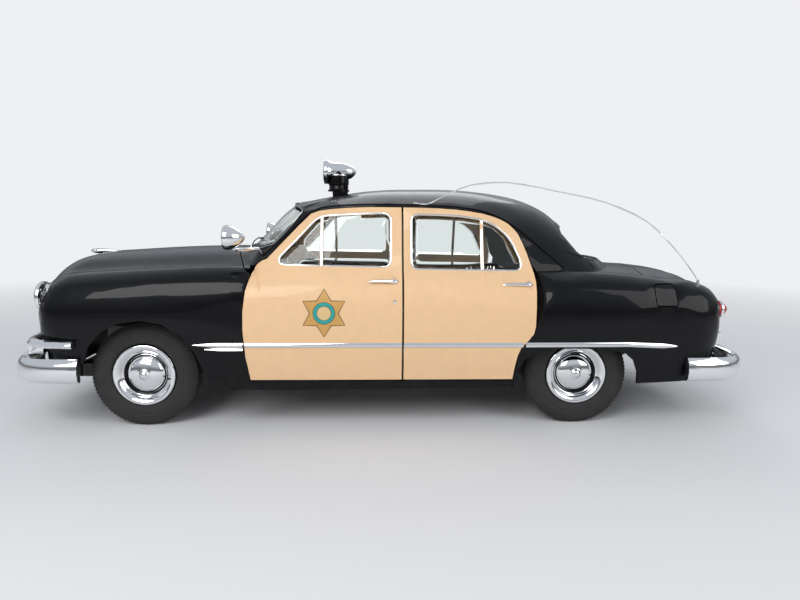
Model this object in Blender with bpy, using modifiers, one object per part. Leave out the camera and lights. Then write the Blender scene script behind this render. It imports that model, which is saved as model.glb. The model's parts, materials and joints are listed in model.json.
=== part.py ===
"""A two-tone 1950s four-door patrol saloon, built as separate panels, doors, glass, wheels and running gear.

Metres. The nose points along -X, the car's left side is at -Y, Z is up, and the ground is Z = 0.
The origin is on the ground under the middle of the car's length.
"""

import math

import bmesh
import bpy
import numpy as np
from mathutils import Matrix, Vector
from mathutils.geometry import delaunay_2d_cdt

# Driving sizes of the car
WHEELBASE = 2.896
BODY_WIDTH = 1.849
HEIGHT = 1.605

# Sizes and places that follow from them
FRONT_OVERHANG_SHARE = 0.30387
REAR_OVERHANG_SHARE = 0.42058
TRACK_SHARE = 0.76906
TYRE_RADIUS_SHARE = 0.21620
TYRE_WIDTH_SHARE = 0.09302
FRONT_OVERHANG = FRONT_OVERHANG_SHARE * WHEELBASE
REAR_OVERHANG = REAR_OVERHANG_SHARE * WHEELBASE
TRACK = TRACK_SHARE * BODY_WIDTH
TYRE_RADIUS = TYRE_RADIUS_SHARE * HEIGHT
TYRE_WIDTH = TYRE_WIDTH_SHARE * BODY_WIDTH
LENGTH = FRONT_OVERHANG + WHEELBASE + REAR_OVERHANG
FRONT_AXLE_X = FRONT_OVERHANG - LENGTH / 2
REAR_AXLE_X = FRONT_AXLE_X + WHEELBASE
MIDDLE_X = (FRONT_AXLE_X + REAR_AXLE_X) / 2
HALF_BASE = WHEELBASE / 2
HALF_WIDTH = BODY_WIDTH / 2
HALF_TRACK = TRACK / 2
ZERO = 0.0

# Gaps and skins
PANEL_GAP = 0.007
SEAT_GAP = 0.0005
SKIN = 0.020
ROOF_WALL = 0.028
DOOR_WALL = 0.058
FRAME_WALL = 0.026
GLASS = 0.006

# Mesh spacing of the panels
SPACING = 0.150
CURVE_STEP = 0.07

SIDES = [(tag, 2 * k - 1) for k, tag in enumerate("lr")]

# Cross-sections of the lower body, front to rear. x is a share of half the wheelbase from its middle, widths are
# shares of half the body's width, and heights are shares of the car's height.
# x, sill width, widest, crown width, crown height, seam width, seam height, centre height, sill height
SECTION_SHARES = (
    (-1.285, 0.900, 0.966, 0.800, 0.627, 0.672, 0.634, 0.703, 0.196),
    (-1.000, 0.925, 0.990, 0.822, 0.645, 0.712, 0.651, 0.720, 0.176),
    (-0.730, 0.936, 0.997, 0.838, 0.657, 0.742, 0.661, 0.729, 0.168),
    (-0.500, 0.940, 1.000, 0.846, 0.661, 0.757, 0.668, 0.730, 0.167),
    (-0.140, 0.942, 1.000, 0.850, 0.660, 0.765, 0.672, 0.720, 0.167),
    (0.280, 0.942, 1.000, 0.850, 0.656, 0.765, 0.670, 0.712, 0.170),
    (0.700, 0.942, 1.000, 0.846, 0.650, 0.757, 0.662, 0.695, 0.173),
    (1.000, 0.938, 0.995, 0.836, 0.642, 0.735, 0.650, 0.675, 0.180),
    (1.280, 0.930, 0.984, 0.820, 0.627, 0.670, 0.632, 0.656, 0.186),
    (1.480, 0.915, 0.965, 0.795, 0.609, 0.630, 0.613, 0.640, 0.192),
)
# How a section rises from sill to crown: height share, then width share from sill to widest and on to the crown
SIDE_SHARES = ((0.0, 0.0, 0.0), (0.20, 0.55, 0.0), (0.42, 0.92, 0.0), (0.65, 1.0, 0.0), (0.83, 1.0, 0.14), (0.95, 1.0, 0.45), (1.0, 1.0, 1.0))
# How it goes on from the seam to the centre line: width share of the seam, height share of the rise
TOP_SHARES = ((1.0, 0.0), (0.68, 0.56), (0.34, 0.90), (0.0, 1.0))
# The edges where the skin ends on the front and rear faces, from the sill round to the centre line:
# x as a share of half the wheelbase, width and height as above
NOSE_EDGE_SHARES = (
    (-1.420, 0.690, 0.274), (-1.432, 0.765, 0.292), (-1.443, 0.812, 0.330), (-1.454, 0.826, 0.386), (-1.465, 0.806, 0.436),
    (-1.478, 0.740, 0.475), (-1.492, 0.640, 0.491), (-1.509, 0.540, 0.496), (-1.526, 0.380, 0.498), (-1.540, 0.190, 0.498),
    (-1.544, 0.0, 0.498),
)
TAIL_EDGE_SHARES = (
    (1.650, 0.690, 0.268), (1.668, 0.720, 0.300), (1.680, 0.728, 0.330), (1.688, 0.715, 0.352), (1.694, 0.690, 0.362),
    (1.700, 0.655, 0.366), (1.708, 0.610, 0.366), (1.718, 0.555, 0.364), (1.736, 0.370, 0.360), (1.748, 0.185, 0.358),
    (1.752, 0.0, 0.358),
)
NOSE_FULLNESS_SHARES = (2.0, 2.0, 2.0, 2.0, 2.0, 2.0, 2.05, 2.2, 2.35, 2.4, 2.4)
TAIL_FULLNESS_SHARES = (2.2, 2.4, 2.6, 2.8, 2.9, 3.0, 3.0, 2.7, 2.5, 2.4, 2.4)
END_TURN_SHARES = (0.30, 0.58, 0.82)
CROWN_ROW = 6
SEAM_ROW = 7

# The cabin's three rings, from the front centre round to the rear centre: base x, width, height, eave x, width,
# height, roof centre x, height, and how early the roof rises from the eave
CABIN_SHARES = (
    (-0.625, 0.0, 0.692, -0.369, 0.0, 0.926, 0.000, 0.989, 0.28),
    (-0.597, 0.357, 0.692, -0.349, 0.325, 0.919, 0.020, 0.991, 0.30),
    (-0.532, 0.690, 0.680, -0.287, 0.590, 0.901, 0.060, 0.994, 0.38),
    (-0.490, 0.836, 0.640, -0.186, 0.687, 0.892, 0.110, 0.997, 0.46),
    (-0.207, 0.868, 0.610, -0.021, 0.734, 0.905, 0.180, 0.999, 0.52),
    (0.180, 0.873, 0.610, 0.207, 0.749, 0.909, 0.290, 1.000, 0.53),
    (0.518, 0.868, 0.607, 0.456, 0.740, 0.898, 0.420, 1.000, 0.53),
    (0.773, 0.852, 0.601, 0.645, 0.708, 0.862, 0.550, 0.994, 0.50),
    (1.000, 0.797, 0.595, 0.790, 0.630, 0.836, 0.670, 0.982, 0.44),
    (1.205, 0.650, 0.595, 0.918, 0.490, 0.838, 0.765, 0.967, 0.37),
    (1.315, 0.346, 0.600, 0.982, 0.262, 0.853, 0.825, 0.953, 0.33),
    (1.350, 0.0, 0.600, 0.996, 0.0, 0.858, 0.842, 0.948, 0.32),
)
WALL_RISE_SHARES = (0.36, 0.70)
ROOF_RUN_SHARES = (0.22, 0.55)
CABIN_BULGE = 0.016


def place(x_share, width_share, height_share):
    """A point from its shares of the wheelbase, the width and the height."""
    return (MIDDLE_X + x_share * HALF_BASE, width_share * HALF_WIDTH, height_share * HEIGHT)


def spline_weights(knots, at):
    """Rows that turn values at the knots into a natural cubic spline's values at the places asked for."""
    count = len(knots)
    span = np.diff(knots)
    left_side, right_side = np.eye(count), np.zeros((count, count))
    for k in range(1, count - 1):
        left_side[k, k - 1 : k + 2] = span[k - 1], 2 * (span[k - 1] + span[k]), span[k]
        right_side[k, k - 1 : k + 2] = 6 / span[k - 1], -6 / span[k - 1] - 6 / span[k], 6 / span[k]
    bend = np.linalg.solve(left_side, right_side)
    k = np.clip(np.searchsorted(knots, at, side="right") - 1, 0, count - 2)
    after = (at - knots[k]) / span[k]
    before = 1 - after
    weights = ((before**3 - before) * span[k] ** 2 / 6)[:, None] * bend[k]
    weights += ((after**3 - after) * span[k] ** 2 / 6)[:, None] * bend[k + 1]
    rows = np.arange(len(at))
    weights[rows, k] += before
    weights[rows, k + 1] += after
    return weights


def mirrored(net, axis, end):
    """The net with two more rows past one end, reflected in the car's centre plane."""
    net = np.moveaxis(net, axis, 0)
    flip = np.array([1.0, -1.0, 1.0])
    net = np.concatenate([net[2:0:-1] * flip, net]) if end == 0 else np.concatenate([net, net[-2:-4:-1] * flip])
    return np.moveaxis(net, 0, axis)


class Skin:
    """A smooth surface through a net of points. Its two coordinates run close to metres along it."""

    def __init__(self, net, u_mirrors, v_mirrors, relief=None):
        steps_u = np.linalg.norm(np.diff(net, axis=0), axis=2).mean(axis=1)
        steps_v = np.linalg.norm(np.diff(net, axis=1), axis=2).mean(axis=0)
        self.u_knots = np.concatenate([[0], np.cumsum(steps_u)])
        self.v_knots = np.concatenate([[0], np.cumsum(steps_v)])
        self.u_end, self.v_end = self.u_knots[-1], self.v_knots[-1]
        self.relief = relief
        self.net, self.ku, self.kv = net, self.u_knots, self.v_knots
        for axis, mirrors in ((0, u_mirrors), (1, v_mirrors)):
            for end in mirrors:
                self.net = mirrored(self.net, axis, end)
                knots = self.ku if axis == 0 else self.kv
                low, high = 2 * knots[0] - knots[2:0:-1], 2 * knots[-1] - knots[-2:-4:-1]
                knots = np.concatenate([low, knots]) if end == 0 else np.concatenate([knots, high])
                if axis == 0:
                    self.ku = knots
                else:
                    self.kv = knots
        gu, gv = np.meshgrid(np.linspace(0, self.u_end, 150), np.linspace(0, self.v_end, 90), indexing="ij")
        self.sample_uv = np.stack([gu.ravel(), gv.ravel()], axis=1)
        self.sample = self.point(self.sample_uv)

    def point(self, uv):
        """Points of the surface at an array of its own coordinates."""
        uv = np.asarray(uv, float).reshape(-1, 2)
        along = spline_weights(self.ku, uv[:, 0])
        round_ = spline_weights(self.kv, uv[:, 1])
        found = np.einsum("mi,ijk,mj->mk", along, self.net, round_, optimize=True)
        if self.relief:
            found = self.relief(found)
        found[np.abs(found[:, 1]) < 1e-6, 1] = 0
        return found

    def locate(self, axes, targets, v_range=None, u_range=None):
        """The surface's coordinates where two of x, y, z (axes 0, 1, 2) have the values asked for."""
        targets = np.asarray(targets, float).reshape(-1, 2)
        low_v, high_v = v_range or (0, self.v_end)
        low_u, high_u = u_range or (0, self.u_end)
        u, v = self.sample_uv.T
        allowed = (v >= low_v) & (v <= high_v) & (u >= low_u) & (u <= high_u)
        seen = self.sample[allowed][:, axes]
        near = ((targets[:, None, :] - seen[None]) ** 2).sum(axis=2).argmin(axis=1)
        uv = self.sample_uv[allowed][near].copy()
        nudge = 1e-4
        for _ in range(12):
            here = self.point(uv)[:, axes]
            du = (self.point(uv + [nudge, 0])[:, axes] - here) / nudge
            dv = (self.point(uv + [0, nudge])[:, axes] - here) / nudge
            miss = targets - here
            area = du[:, 0] * dv[:, 1] - du[:, 1] * dv[:, 0]
            area = np.where(np.abs(area) < 1e-3, np.copysign(1e-3, area), area)
            step_u = (miss[:, 0] * dv[:, 1] - miss[:, 1] * dv[:, 0]) / area
            step_v = (du[:, 0] * miss[:, 1] - du[:, 1] * miss[:, 0]) / area
            uv += np.clip(np.stack([step_u, step_v], axis=1), -0.05, 0.05)
            uv[:, 0] = np.clip(uv[:, 0], low_u, high_u)
            uv[:, 1] = np.clip(uv[:, 1], low_v, high_v)
        return uv


def body_section(row):
    """One cross-section's points from its row of shares."""
    x, sill_w, widest, crown_w, crown_z, seam_w, seam_z, centre_z, sill_z = row
    points = []
    for rise, spread, inset in SIDE_SHARES:
        width = sill_w + spread * (widest - sill_w) - inset * (widest - crown_w)
        points.append(place(x, width, sill_z + rise * (crown_z - sill_z)))
    for width, rise in TOP_SHARES:
        points.append(place(x, width * seam_w, seam_z + rise * (centre_z - seam_z)))
    return points


def end_rows(base, edge, fullness):
    """Rows that turn the skin from its last full section round on to the end face, as quarter superellipses."""
    rows = []
    for turn in END_TURN_SHARES:
        angle = turn * math.pi / 2
        row = []
        for from_, to, power in zip(base, edge, fullness):
            out, back = math.sin(angle) ** (2 / power), math.cos(angle) ** (2 / power)
            row.append((from_[0] + (to[0] - from_[0]) * out, to[1] + (from_[1] - to[1]) * back, to[2] + (from_[2] - to[2]) * back))
        rows.append(row)
    return rows + [edge]


# The ridge along the rear wing that ends in the tail lamp
RIDGE_Z_SHARE = 0.49221
RIDGE_Z = RIDGE_Z_SHARE * HEIGHT
RIDGE_START_SHARE = 1.09
RIDGE_END_SHARE = 1.62
RIDGE_START_X = MIDDLE_X + RIDGE_START_SHARE * HALF_BASE
RIDGE_END_X = MIDDLE_X + RIDGE_END_SHARE * HALF_BASE
RIDGE_RISE = 0.020
RIDGE_ABOVE = 0.120
RIDGE_BELOW = 0.035


def ridge_relief(points):
    """Pushes the rear wing out to its ridge, growing towards the tail."""
    grow = np.clip((points[:, 0] - RIDGE_START_X) / (RIDGE_END_X - RIDGE_START_X), 0, 1)
    above = np.clip(1 - (points[:, 2] - RIDGE_Z) / RIDGE_ABOVE, 0, 1) * (points[:, 2] >= RIDGE_Z)
    below = np.clip(1 - (RIDGE_Z - points[:, 2]) / RIDGE_BELOW, 0, 1) * (points[:, 2] < RIDGE_Z)
    shape = (above**2 + below**2) * grow * np.clip((points[:, 1] / HALF_WIDTH - 0.45) / 0.2, 0, 1)
    points[:, 1] += RIDGE_RISE * shape
    return points


def make_body_skin():
    sections = [body_section(row) for row in SECTION_SHARES]
    nose_edge = [place(*share) for share in NOSE_EDGE_SHARES]
    tail_edge = [place(*share) for share in TAIL_EDGE_SHARES]
    nose = end_rows(sections[0], nose_edge, NOSE_FULLNESS_SHARES)[::-1]
    tail = end_rows(sections[-1], tail_edge, TAIL_FULLNESS_SHARES)
    return Skin(np.array(nose + sections + tail), (), (1,), ridge_relief)


def make_cabin_skin():
    rings = []
    for base_x, base_w, base_z, eave_x, eave_w, eave_z, roof_x, roof_z, early in CABIN_SHARES:
        base, eave = np.array(place(base_x, base_w, base_z)), np.array(place(eave_x, eave_w, eave_z))
        roof = np.array(place(roof_x, 0.0, roof_z))
        out = (base + eave) / 2 - roof
        out /= np.linalg.norm(out)
        ring = [base]
        ring += [base + (eave - base) * rise + out * CABIN_BULGE * 4 * rise * (1 - rise) for rise in WALL_RISE_SHARES]
        ring.append(eave)
        for run, climb in zip(ROOF_RUN_SHARES, (early, 0.65 + 0.95 * (early - 0.30))):
            point = eave + (roof - eave) * run
            point[2] = eave[2] + (roof[2] - eave[2]) * climb
            ring.append(point)
        ring.append(roof)
        rings.append(ring)
    return Skin(np.array(rings), (0, 1), (1,))


BODY = make_body_skin()
CABIN = make_cabin_skin()
SEAM_V = BODY.v_knots[SEAM_ROW]
CROWN_V = BODY.v_knots[CROWN_ROW]


def inside(points, loop):
    """Which points lie inside a closed loop."""
    x, y = points[:, 0][:, None], points[:, 1][:, None]
    a, b = loop, np.roll(loop, -1, axis=0)
    crosses = (a[None, :, 1] > y) != (b[None, :, 1] > y)
    rise = np.where(b[:, 1] == a[:, 1], 1e-12, b[:, 1] - a[:, 1])
    at = a[None, :, 0] + (y - a[None, :, 1]) * ((b[:, 0] - a[:, 0]) / rise)[None]
    return ((crosses & (x < at)).sum(axis=1) % 2).astype(bool)


def clearance(points, loop):
    """Each point's distance to a closed loop."""
    a, b = loop, np.roll(loop, -1, axis=0)
    side = b - a
    length = np.maximum((side**2).sum(axis=1), 1e-14)
    share = np.clip(((points[:, None] - a[None]) * side[None]).sum(axis=2) / length, 0, 1)
    return np.linalg.norm(points[:, None] - (a[None] + share[..., None] * side[None]), axis=2).min(axis=1)


def fill(loops, spacing, rows=()):
    """Triangles over the first loop less the others: (flat points, triangles). rows are more inner points."""
    loops = [np.asarray(loop, float) for loop in loops]
    points, edges = [], []
    for loop in loops:
        first = len(points)
        points += list(loop)
        edges += [(first + k, first + (k + 1) % len(loop)) for k in range(len(loop))]
    low, high = loops[0].min(axis=0), loops[0].max(axis=0)
    step_v = spacing * math.sqrt(3) / 2
    grid = [
        (u + (k % 2) * spacing / 2, v)
        for k, v in enumerate(np.arange(low[1] + step_v / 2, high[1], step_v))
        for u in np.arange(low[0] - spacing / 4, high[0], spacing)
    ]
    inner = np.array(list(rows) + grid, float).reshape(-1, 2)
    keep = inside(inner, loops[0])
    for loop in loops[1:]:
        keep &= ~inside(inner, loop)
    inner = inner[keep]
    for loop in loops:
        inner = inner[clearance(inner, loop) > 0.42 * spacing] if len(inner) else inner
    chosen = []
    for point in inner:
        if all((point[0] - q[0]) ** 2 + (point[1] - q[1]) ** 2 > (0.5 * spacing) ** 2 for q in chosen):
            chosen.append(point)
    points += chosen
    flat, _, faces, *_ = delaunay_2d_cdt([Vector(p) for p in points], edges, [], 0, 1e-7)
    flat = np.array([tuple(p) for p in flat])
    faces = np.array([tuple(f) for f in faces])
    middle = flat[faces].mean(axis=1)
    keep = inside(middle, loops[0])
    for loop in loops[1:]:
        keep &= ~inside(middle, loop)
    faces = faces[keep]
    used = np.unique(faces)
    renumber = np.full(len(flat), -1)
    renumber[used] = np.arange(len(used))
    return flat[used], renumber[faces]


# Outlines seen from the side, x as a share of half the wheelbase and z as a share of the height
FRONT_DOOR_SHARES = (
    (-0.5055, 0.2087), (-0.5228, 0.3115), (-0.5311, 0.4218), (-0.5283, 0.4984), (-0.5186, 0.5732), (-0.5007, 0.6417),
    (-0.4834, 0.6760), (-0.4641, 0.6903), (-0.4385, 0.6991), (-0.3605, 0.7751), (-0.2970, 0.8361), (-0.2438, 0.8835),
    (-0.2072, 0.8960), (-0.1526, 0.9034), (-0.0691, 0.9090), (0.0304, 0.9128), (0.1776, 0.9121), (0.1776, 0.2087),
)
REAR_DOOR_SHARES = (
    (0.1816, 0.2087), (0.1816, 0.9121), (0.2762, 0.9115), (0.3543, 0.9090), (0.4282, 0.9047), (0.4938, 0.8978),
    (0.5525, 0.8891), (0.6008, 0.8779), (0.6406, 0.8648), (0.6764, 0.8474), (0.7039, 0.8237), (0.7225, 0.8037),
    (0.7453, 0.7601), (0.7619, 0.7184), (0.7750, 0.6791), (0.7819, 0.6417), (0.7812, 0.5427), (0.7785, 0.4361),
    (0.7709, 0.4019), (0.7439, 0.3713), (0.7177, 0.3464), (0.7018, 0.3115), (0.6923, 0.2617), (0.6850, 0.2087),
)
FRONT_WINDOW_SHARES = (
    (-0.3833, 0.6854), (-0.3764, 0.7028), (-0.2983, 0.7751), (-0.2189, 0.8523), (-0.1968, 0.8648), (-0.1657, 0.8710),
    (0.0000, 0.8791), (0.1036, 0.8835), (0.1222, 0.8723), (0.1222, 0.6791), (0.1105, 0.6710), (-0.1727, 0.6748),
    (-0.3660, 0.6779),
)
REAR_WINDOW_SHARES = (
    (0.2327, 0.6629), (0.2231, 0.6729), (0.2231, 0.8692), (0.2348, 0.8791), (0.3453, 0.8779), (0.4489, 0.8729),
    (0.5421, 0.8598), (0.6070, 0.8361), (0.6533, 0.8025), (0.6802, 0.7726), (0.6989, 0.7383), (0.7217, 0.6897),
    (0.7251, 0.6667), (0.7113, 0.6567), (0.4834, 0.6598),
)
FRONT_ARCH_SHARES = (
    (-1.2431, 0.2741), (-1.2120, 0.3489), (-1.1464, 0.4143), (-1.0635, 0.4486), (-0.9758, 0.4573), (-0.8840, 0.4436),
    (-0.8011, 0.3956), (-0.7424, 0.3240), (-0.7148, 0.2617), (-0.6906, 0.2056),
)
REAR_ARCH_SHARES = (
    (0.7079, 0.2492), (0.7355, 0.2960), (0.7942, 0.3271), (0.8633, 0.3396), (0.9593, 0.3427), (1.1050, 0.3383),
    (1.1961, 0.3221), (1.2431, 0.2866), (1.2659, 0.2380), (1.2721, 0.1950),
)
# Windscreen and rear window, seen from the front: y as a share of half the width, z as a share of the height
SCREEN_SHARES = ((0.0, 0.741), (0.40, 0.741), (0.66, 0.7420), (0.715, 0.7600), (0.660, 0.8420), (0.610, 0.8920), (0.560, 0.9020), (0.30, 0.9230), (0.0, 0.9280))
BACKLIGHT_SHARES = ((0.0, 0.690), (0.35, 0.690), (0.555, 0.6880), (0.590, 0.7000), (0.580, 0.7300), (0.490, 0.8010), (0.430, 0.8190), (0.25, 0.8310), (0.0, 0.8360))
# The bonnet's rear edge and the boot lid's front edge, seen from above: x share of half the wheelbase
BONNET_REAR_SHARES = ((-0.635, 0.0), (-0.630, 0.25), (-0.600, 0.50), (-0.552, 0.742))
BOOT_FRONT_SHARES = ((1.405, 0.0), (1.398, 0.30), (1.375, 0.52), (1.350, 0.655))


def side(shares):
    """Side-view points from their shares."""
    return np.array([(MIDDLE_X + x * HALF_BASE, z * HEIGHT) for x, z in shares])


def front(shares):
    """Front-view points from their shares."""
    return np.array([(y * HALF_WIDTH, z * HEIGHT) for y, z in shares])


def above(shares):
    """Points seen from above, from their shares."""
    return np.array([(MIDDLE_X + x * HALF_BASE, y * HALF_WIDTH) for x, y in shares])


def along(points, step=CURVE_STEP, closed=False):
    """The line with more points on its long straights."""
    points = np.asarray(points, float)
    ends = np.roll(points, -1, axis=0) if closed else points[1:]
    found = []
    for a, b in zip(points, ends):
        count = max(1, round(float(np.linalg.norm(b - a)) / step))
        found += [a + (b - a) * k / count for k in range(count)]
    return np.array(found if closed else found + [points[-1]])


def grown(loop, by):
    """The closed loop moved outwards, or inwards with a negative distance."""
    loop = np.asarray(loop, float)
    ahead, behind = np.roll(loop, -1, axis=0) - loop, loop - np.roll(loop, 1, axis=0)
    unit = [d / np.maximum(np.linalg.norm(d, axis=1), 1e-9)[:, None] for d in (ahead, behind)]
    area = (loop[:, 0] * np.roll(loop[:, 1], -1) - loop[:, 1] * np.roll(loop[:, 0], -1)).sum()
    normals = [np.stack([d[:, 1], -d[:, 0]], axis=1) * np.sign(area) for d in unit]
    both = normals[0] + normals[1]
    reach = np.maximum((both * normals[0]).sum(axis=1), 0.6)
    return loop + both * (by / reach)[:, None]


def material(name, colour, metallic=0.0, roughness=0.4, alpha=1.0):
    made = bpy.data.materials.new(name)
    made.use_nodes = True
    shader = made.node_tree.nodes["Principled BSDF"]
    shader.inputs["Base Color"].default_value = (*colour, 1.0)
    shader.inputs["Metallic"].default_value = metallic
    shader.inputs["Roughness"].default_value = roughness
    shader.inputs["Alpha"].default_value = alpha
    return made


def add_mesh(name, points, faces, look, collection=None):
    mesh = bpy.data.meshes.new(name)
    mesh.from_pydata([tuple(p) for p in points], [], [tuple(int(k) for k in f) for f in faces])
    mesh.update()
    obj = bpy.data.objects.new(name, mesh)
    (collection or CAR).objects.link(obj)
    if look:
        mesh.materials.append(look)
    return obj


def modify(obj, kind, **settings):
    modifier = obj.modifiers.new(kind.title(), kind)
    for key, value in settings.items():
        setattr(modifier, key, value)
    return modifier


def cut(obj, cutter, operation="DIFFERENCE"):
    return modify(obj, "BOOLEAN", operation=operation, object=cutter, solver="EXACT")


def helper(obj):
    """Makes an object a cutter or a tool that isn't itself part of the car."""
    for collection in list(obj.users_collection):
        collection.objects.unlink(obj)
    TOOLS.objects.link(obj)
    obj.hide_render = True
    obj.display_type = "WIRE"
    return obj


def skin_panel(name, skin, loops, wall, look, half=False, sign=1.0, spacing=SPACING):
    """A sheet that follows a skin inside its loops, thickened inwards."""
    flat, faces = fill(loops, spacing)
    points = skin.point(flat)
    faces = faces[:, ::-1]
    if sign < 0:
        points[:, 1] *= -1
        faces = faces[:, ::-1]
    obj = add_mesh(name, points, faces, look)
    if half:
        modify(obj, "MIRROR", use_axis=(False, True, False), merge_threshold=0.0001)
    modify(obj, "SOLIDIFY", thickness=wall, offset=-1.0, use_even_offset=True, use_rim=True)
    return obj


def box(name, low, high, look, bevel=0.0, taper=None):
    """A block between two corners. taper moves the top's corners in x and y."""
    low, high = Vector(low), Vector(high)
    work = bmesh.new()
    bmesh.ops.create_cube(work, size=1.0)
    for corner in work.verts:
        share = corner.co + Vector((0.5, 0.5, 0.5))
        corner.co = Vector([a + (b - a) * t for a, b, t in zip(low, high, share)])
        if taper and share.z > 0.5:
            corner.co += Vector((*taper, 0))
    mesh = bpy.data.meshes.new(name)
    work.to_mesh(mesh)
    work.free()
    obj = bpy.data.objects.new(name, mesh)
    CAR.objects.link(obj)
    if look:
        mesh.materials.append(look)
    if bevel:
        modify(obj, "BEVEL", width=bevel, segments=1, limit_method="NONE")
    return obj


def frame_of(axis):
    """A matrix whose local Z runs along the axis."""
    return Vector(axis).to_track_quat("Z", "Y").to_matrix().to_4x4()


def turned(name, profile, look, steps, at, axis=(0, 0, 1)):
    """A profile of (radius, height) points turned about its local Z, closed where the radius is zero."""
    area = sum(r * nz - nr * z for (r, z), (nr, nz) in zip(profile, (*profile[1:], profile[0])))
    outline = list(profile)[::-1] if area > 0 else list(profile)
    mesh = bpy.data.meshes.new(name)
    ring = range(len(outline) - (1 if outline[0][0] == 0 else 0))
    mesh.from_pydata([(r, 0, z) for r, z in outline], [(k, (k + 1) % len(outline)) for k in ring], [])
    obj = bpy.data.objects.new(name, mesh)
    CAR.objects.link(obj)
    if look:
        mesh.materials.append(look)
    modify(obj, "SCREW", steps=steps, render_steps=steps, use_merge_vertices=True, merge_threshold=0.0001)
    obj.matrix_world = Matrix.Translation(at) @ frame_of(axis)
    return obj


def loft(name, rings, look, closed_ends=True):
    """A tube through rings of equal counts, capped at both ends."""
    count = len(rings[0])
    points = [p for ring in rings for p in ring]
    faces = []
    for r in range(len(rings) - 1):
        for k in range(count):
            n = (k + 1) % count
            faces.append((r * count + k, r * count + n, (r + 1) * count + n, (r + 1) * count + k))
    last = (len(rings) - 1) * count
    faces += [tuple(reversed(range(count))), tuple(range(last, last + count))]
    obj = add_mesh(name, points, faces, look)
    outward(obj)
    return obj


def outward(obj):
    """Turns every face of a closed mesh to face out."""
    mesh = bmesh.new()
    mesh.from_mesh(obj.data)
    bmesh.ops.recalc_face_normals(mesh, faces=mesh.faces)
    if mesh.calc_volume(signed=True) < 0:
        bmesh.ops.reverse_faces(mesh, faces=mesh.faces)
    mesh.to_mesh(obj.data)
    mesh.free()


def tube(name, points, radius, look, sides=6):
    """A round bar along a line."""
    curve = bpy.data.curves.new(name, "CURVE")
    curve.dimensions = "3D"
    curve.bevel_depth = radius
    curve.bevel_resolution = max(0, sides // 4)
    curve.use_fill_caps = True
    spline = curve.splines.new("POLY")
    spline.points.add(len(points) - 1)
    for slot, point in zip(spline.points, points):
        slot.co = (*point, 1)
    made = bpy.data.objects.new(name, curve)
    TOOLS.objects.link(made)
    mesh = bpy.data.meshes.new_from_object(made.evaluated_get(bpy.context.evaluated_depsgraph_get()))
    bpy.data.objects.remove(made)
    obj = bpy.data.objects.new(name, mesh)
    CAR.objects.link(obj)
    work = bmesh.new()
    work.from_mesh(mesh)
    bmesh.ops.remove_doubles(work, verts=work.verts, dist=1e-5)
    bmesh.ops.recalc_face_normals(work, faces=work.faces)
    work.to_mesh(mesh)
    work.free()
    mesh.materials.clear()
    mesh.materials.append(look)
    return obj


for old in list(bpy.data.objects):
    bpy.data.objects.remove(old)
CAR = bpy.data.collections.new("patrol_car")
TOOLS = bpy.data.collections.new("cutters")
bpy.context.scene.collection.children.link(CAR)
bpy.context.scene.collection.children.link(TOOLS)

BLACK = material("black_paint", (0.012, 0.013, 0.016), 0.0, 0.12)
CREAM = material("cream_paint", (0.86, 0.74, 0.58), 0.0, 0.18)
CHROME = material("chrome", (0.85, 0.86, 0.88), 1.0, 0.08)
CLEAR = material("window_glass", (0.80, 0.88, 0.86), 0.0, 0.03, 0.25)
RUBBER = material("rubber", (0.03, 0.03, 0.03), 0.0, 0.75)
STEEL = material("chassis_steel", (0.08, 0.08, 0.085), 0.6, 0.5)
CLOTH = material("grey_upholstery", (0.46, 0.45, 0.43), 0.0, 0.8)
RED = material("tail_lens", (0.45, 0.02, 0.02), 0.0, 0.15)
LENS = material("lamp_glass", (0.90, 0.92, 0.92), 0.0, 0.05, 0.6)
TRIM = material("dash_paint", (0.30, 0.29, 0.27), 0.0, 0.4)

HALF_GAP = PANEL_GAP / 2

# Where the cabin meets the lower body: the foot line, from the front centre round to the rear centre
FOOT_COUNT = 60
FOOT_SEARCH = 14


def foot_line():
    """The cabin skin's coordinates where it comes up through the lower body's skin."""
    u = np.linspace(0, CABIN.u_end, FOOT_COUNT)
    low, high = np.zeros(FOOT_COUNT), np.full(FOOT_COUNT, CABIN.v_knots[3] * 0.7)
    for _ in range(FOOT_SEARCH):
        middle = (low + high) / 2
        point = CABIN.point(np.stack([u, middle], axis=1))
        spot = BODY.locate([0, 1], point[:, :2], v_range=(BODY.v_knots[3], BODY.v_end))
        below = BODY.point(spot)[:, 2] > point[:, 2]
        low, high = np.where(below, middle, low), np.where(below, high, middle)
    return np.stack([u, high], axis=1)


FOOT = foot_line()
FOOT_POINTS = CABIN.point(FOOT)


def foot_on_body(part, clearance_=SEAT_GAP):
    """The foot line as the lower body's coordinates, a clearance outside the cabin. part picks points of it."""
    flat = FOOT_POINTS[:, :2]
    ahead = np.gradient(flat, axis=0)
    normal = np.stack([-ahead[:, 1], ahead[:, 0]], axis=1)
    normal /= np.linalg.norm(normal, axis=1)[:, None]
    return BODY.locate([0, 1], (flat + normal * clearance_)[part], v_range=(BODY.v_knots[3], BODY.v_end))


def u_for(x, v):
    """The body skin's first coordinate where its second is v and its x is the one asked for."""
    x, v = np.broadcast_arrays(np.atleast_1d(np.asarray(x, float)), np.atleast_1d(np.asarray(v, float)))
    low, high = np.zeros(len(x)), np.full(len(x), BODY.u_end)
    for _ in range(40):
        middle = (low + high) / 2
        below = BODY.point(np.stack([middle, v], axis=1))[:, 0] < x
        low, high = np.where(below, middle, low), np.where(below, high, middle)
    return (low + high) / 2


def run(start, end):
    """A straight run in a skin's own coordinates, with points along it."""
    return along(np.array([start, end], float), SPACING)[:-1]


def body_side(points):
    """The lower body's coordinates of side-view points."""
    return BODY.locate([0, 2], points, v_range=(0, CROWN_V + 0.02))


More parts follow.
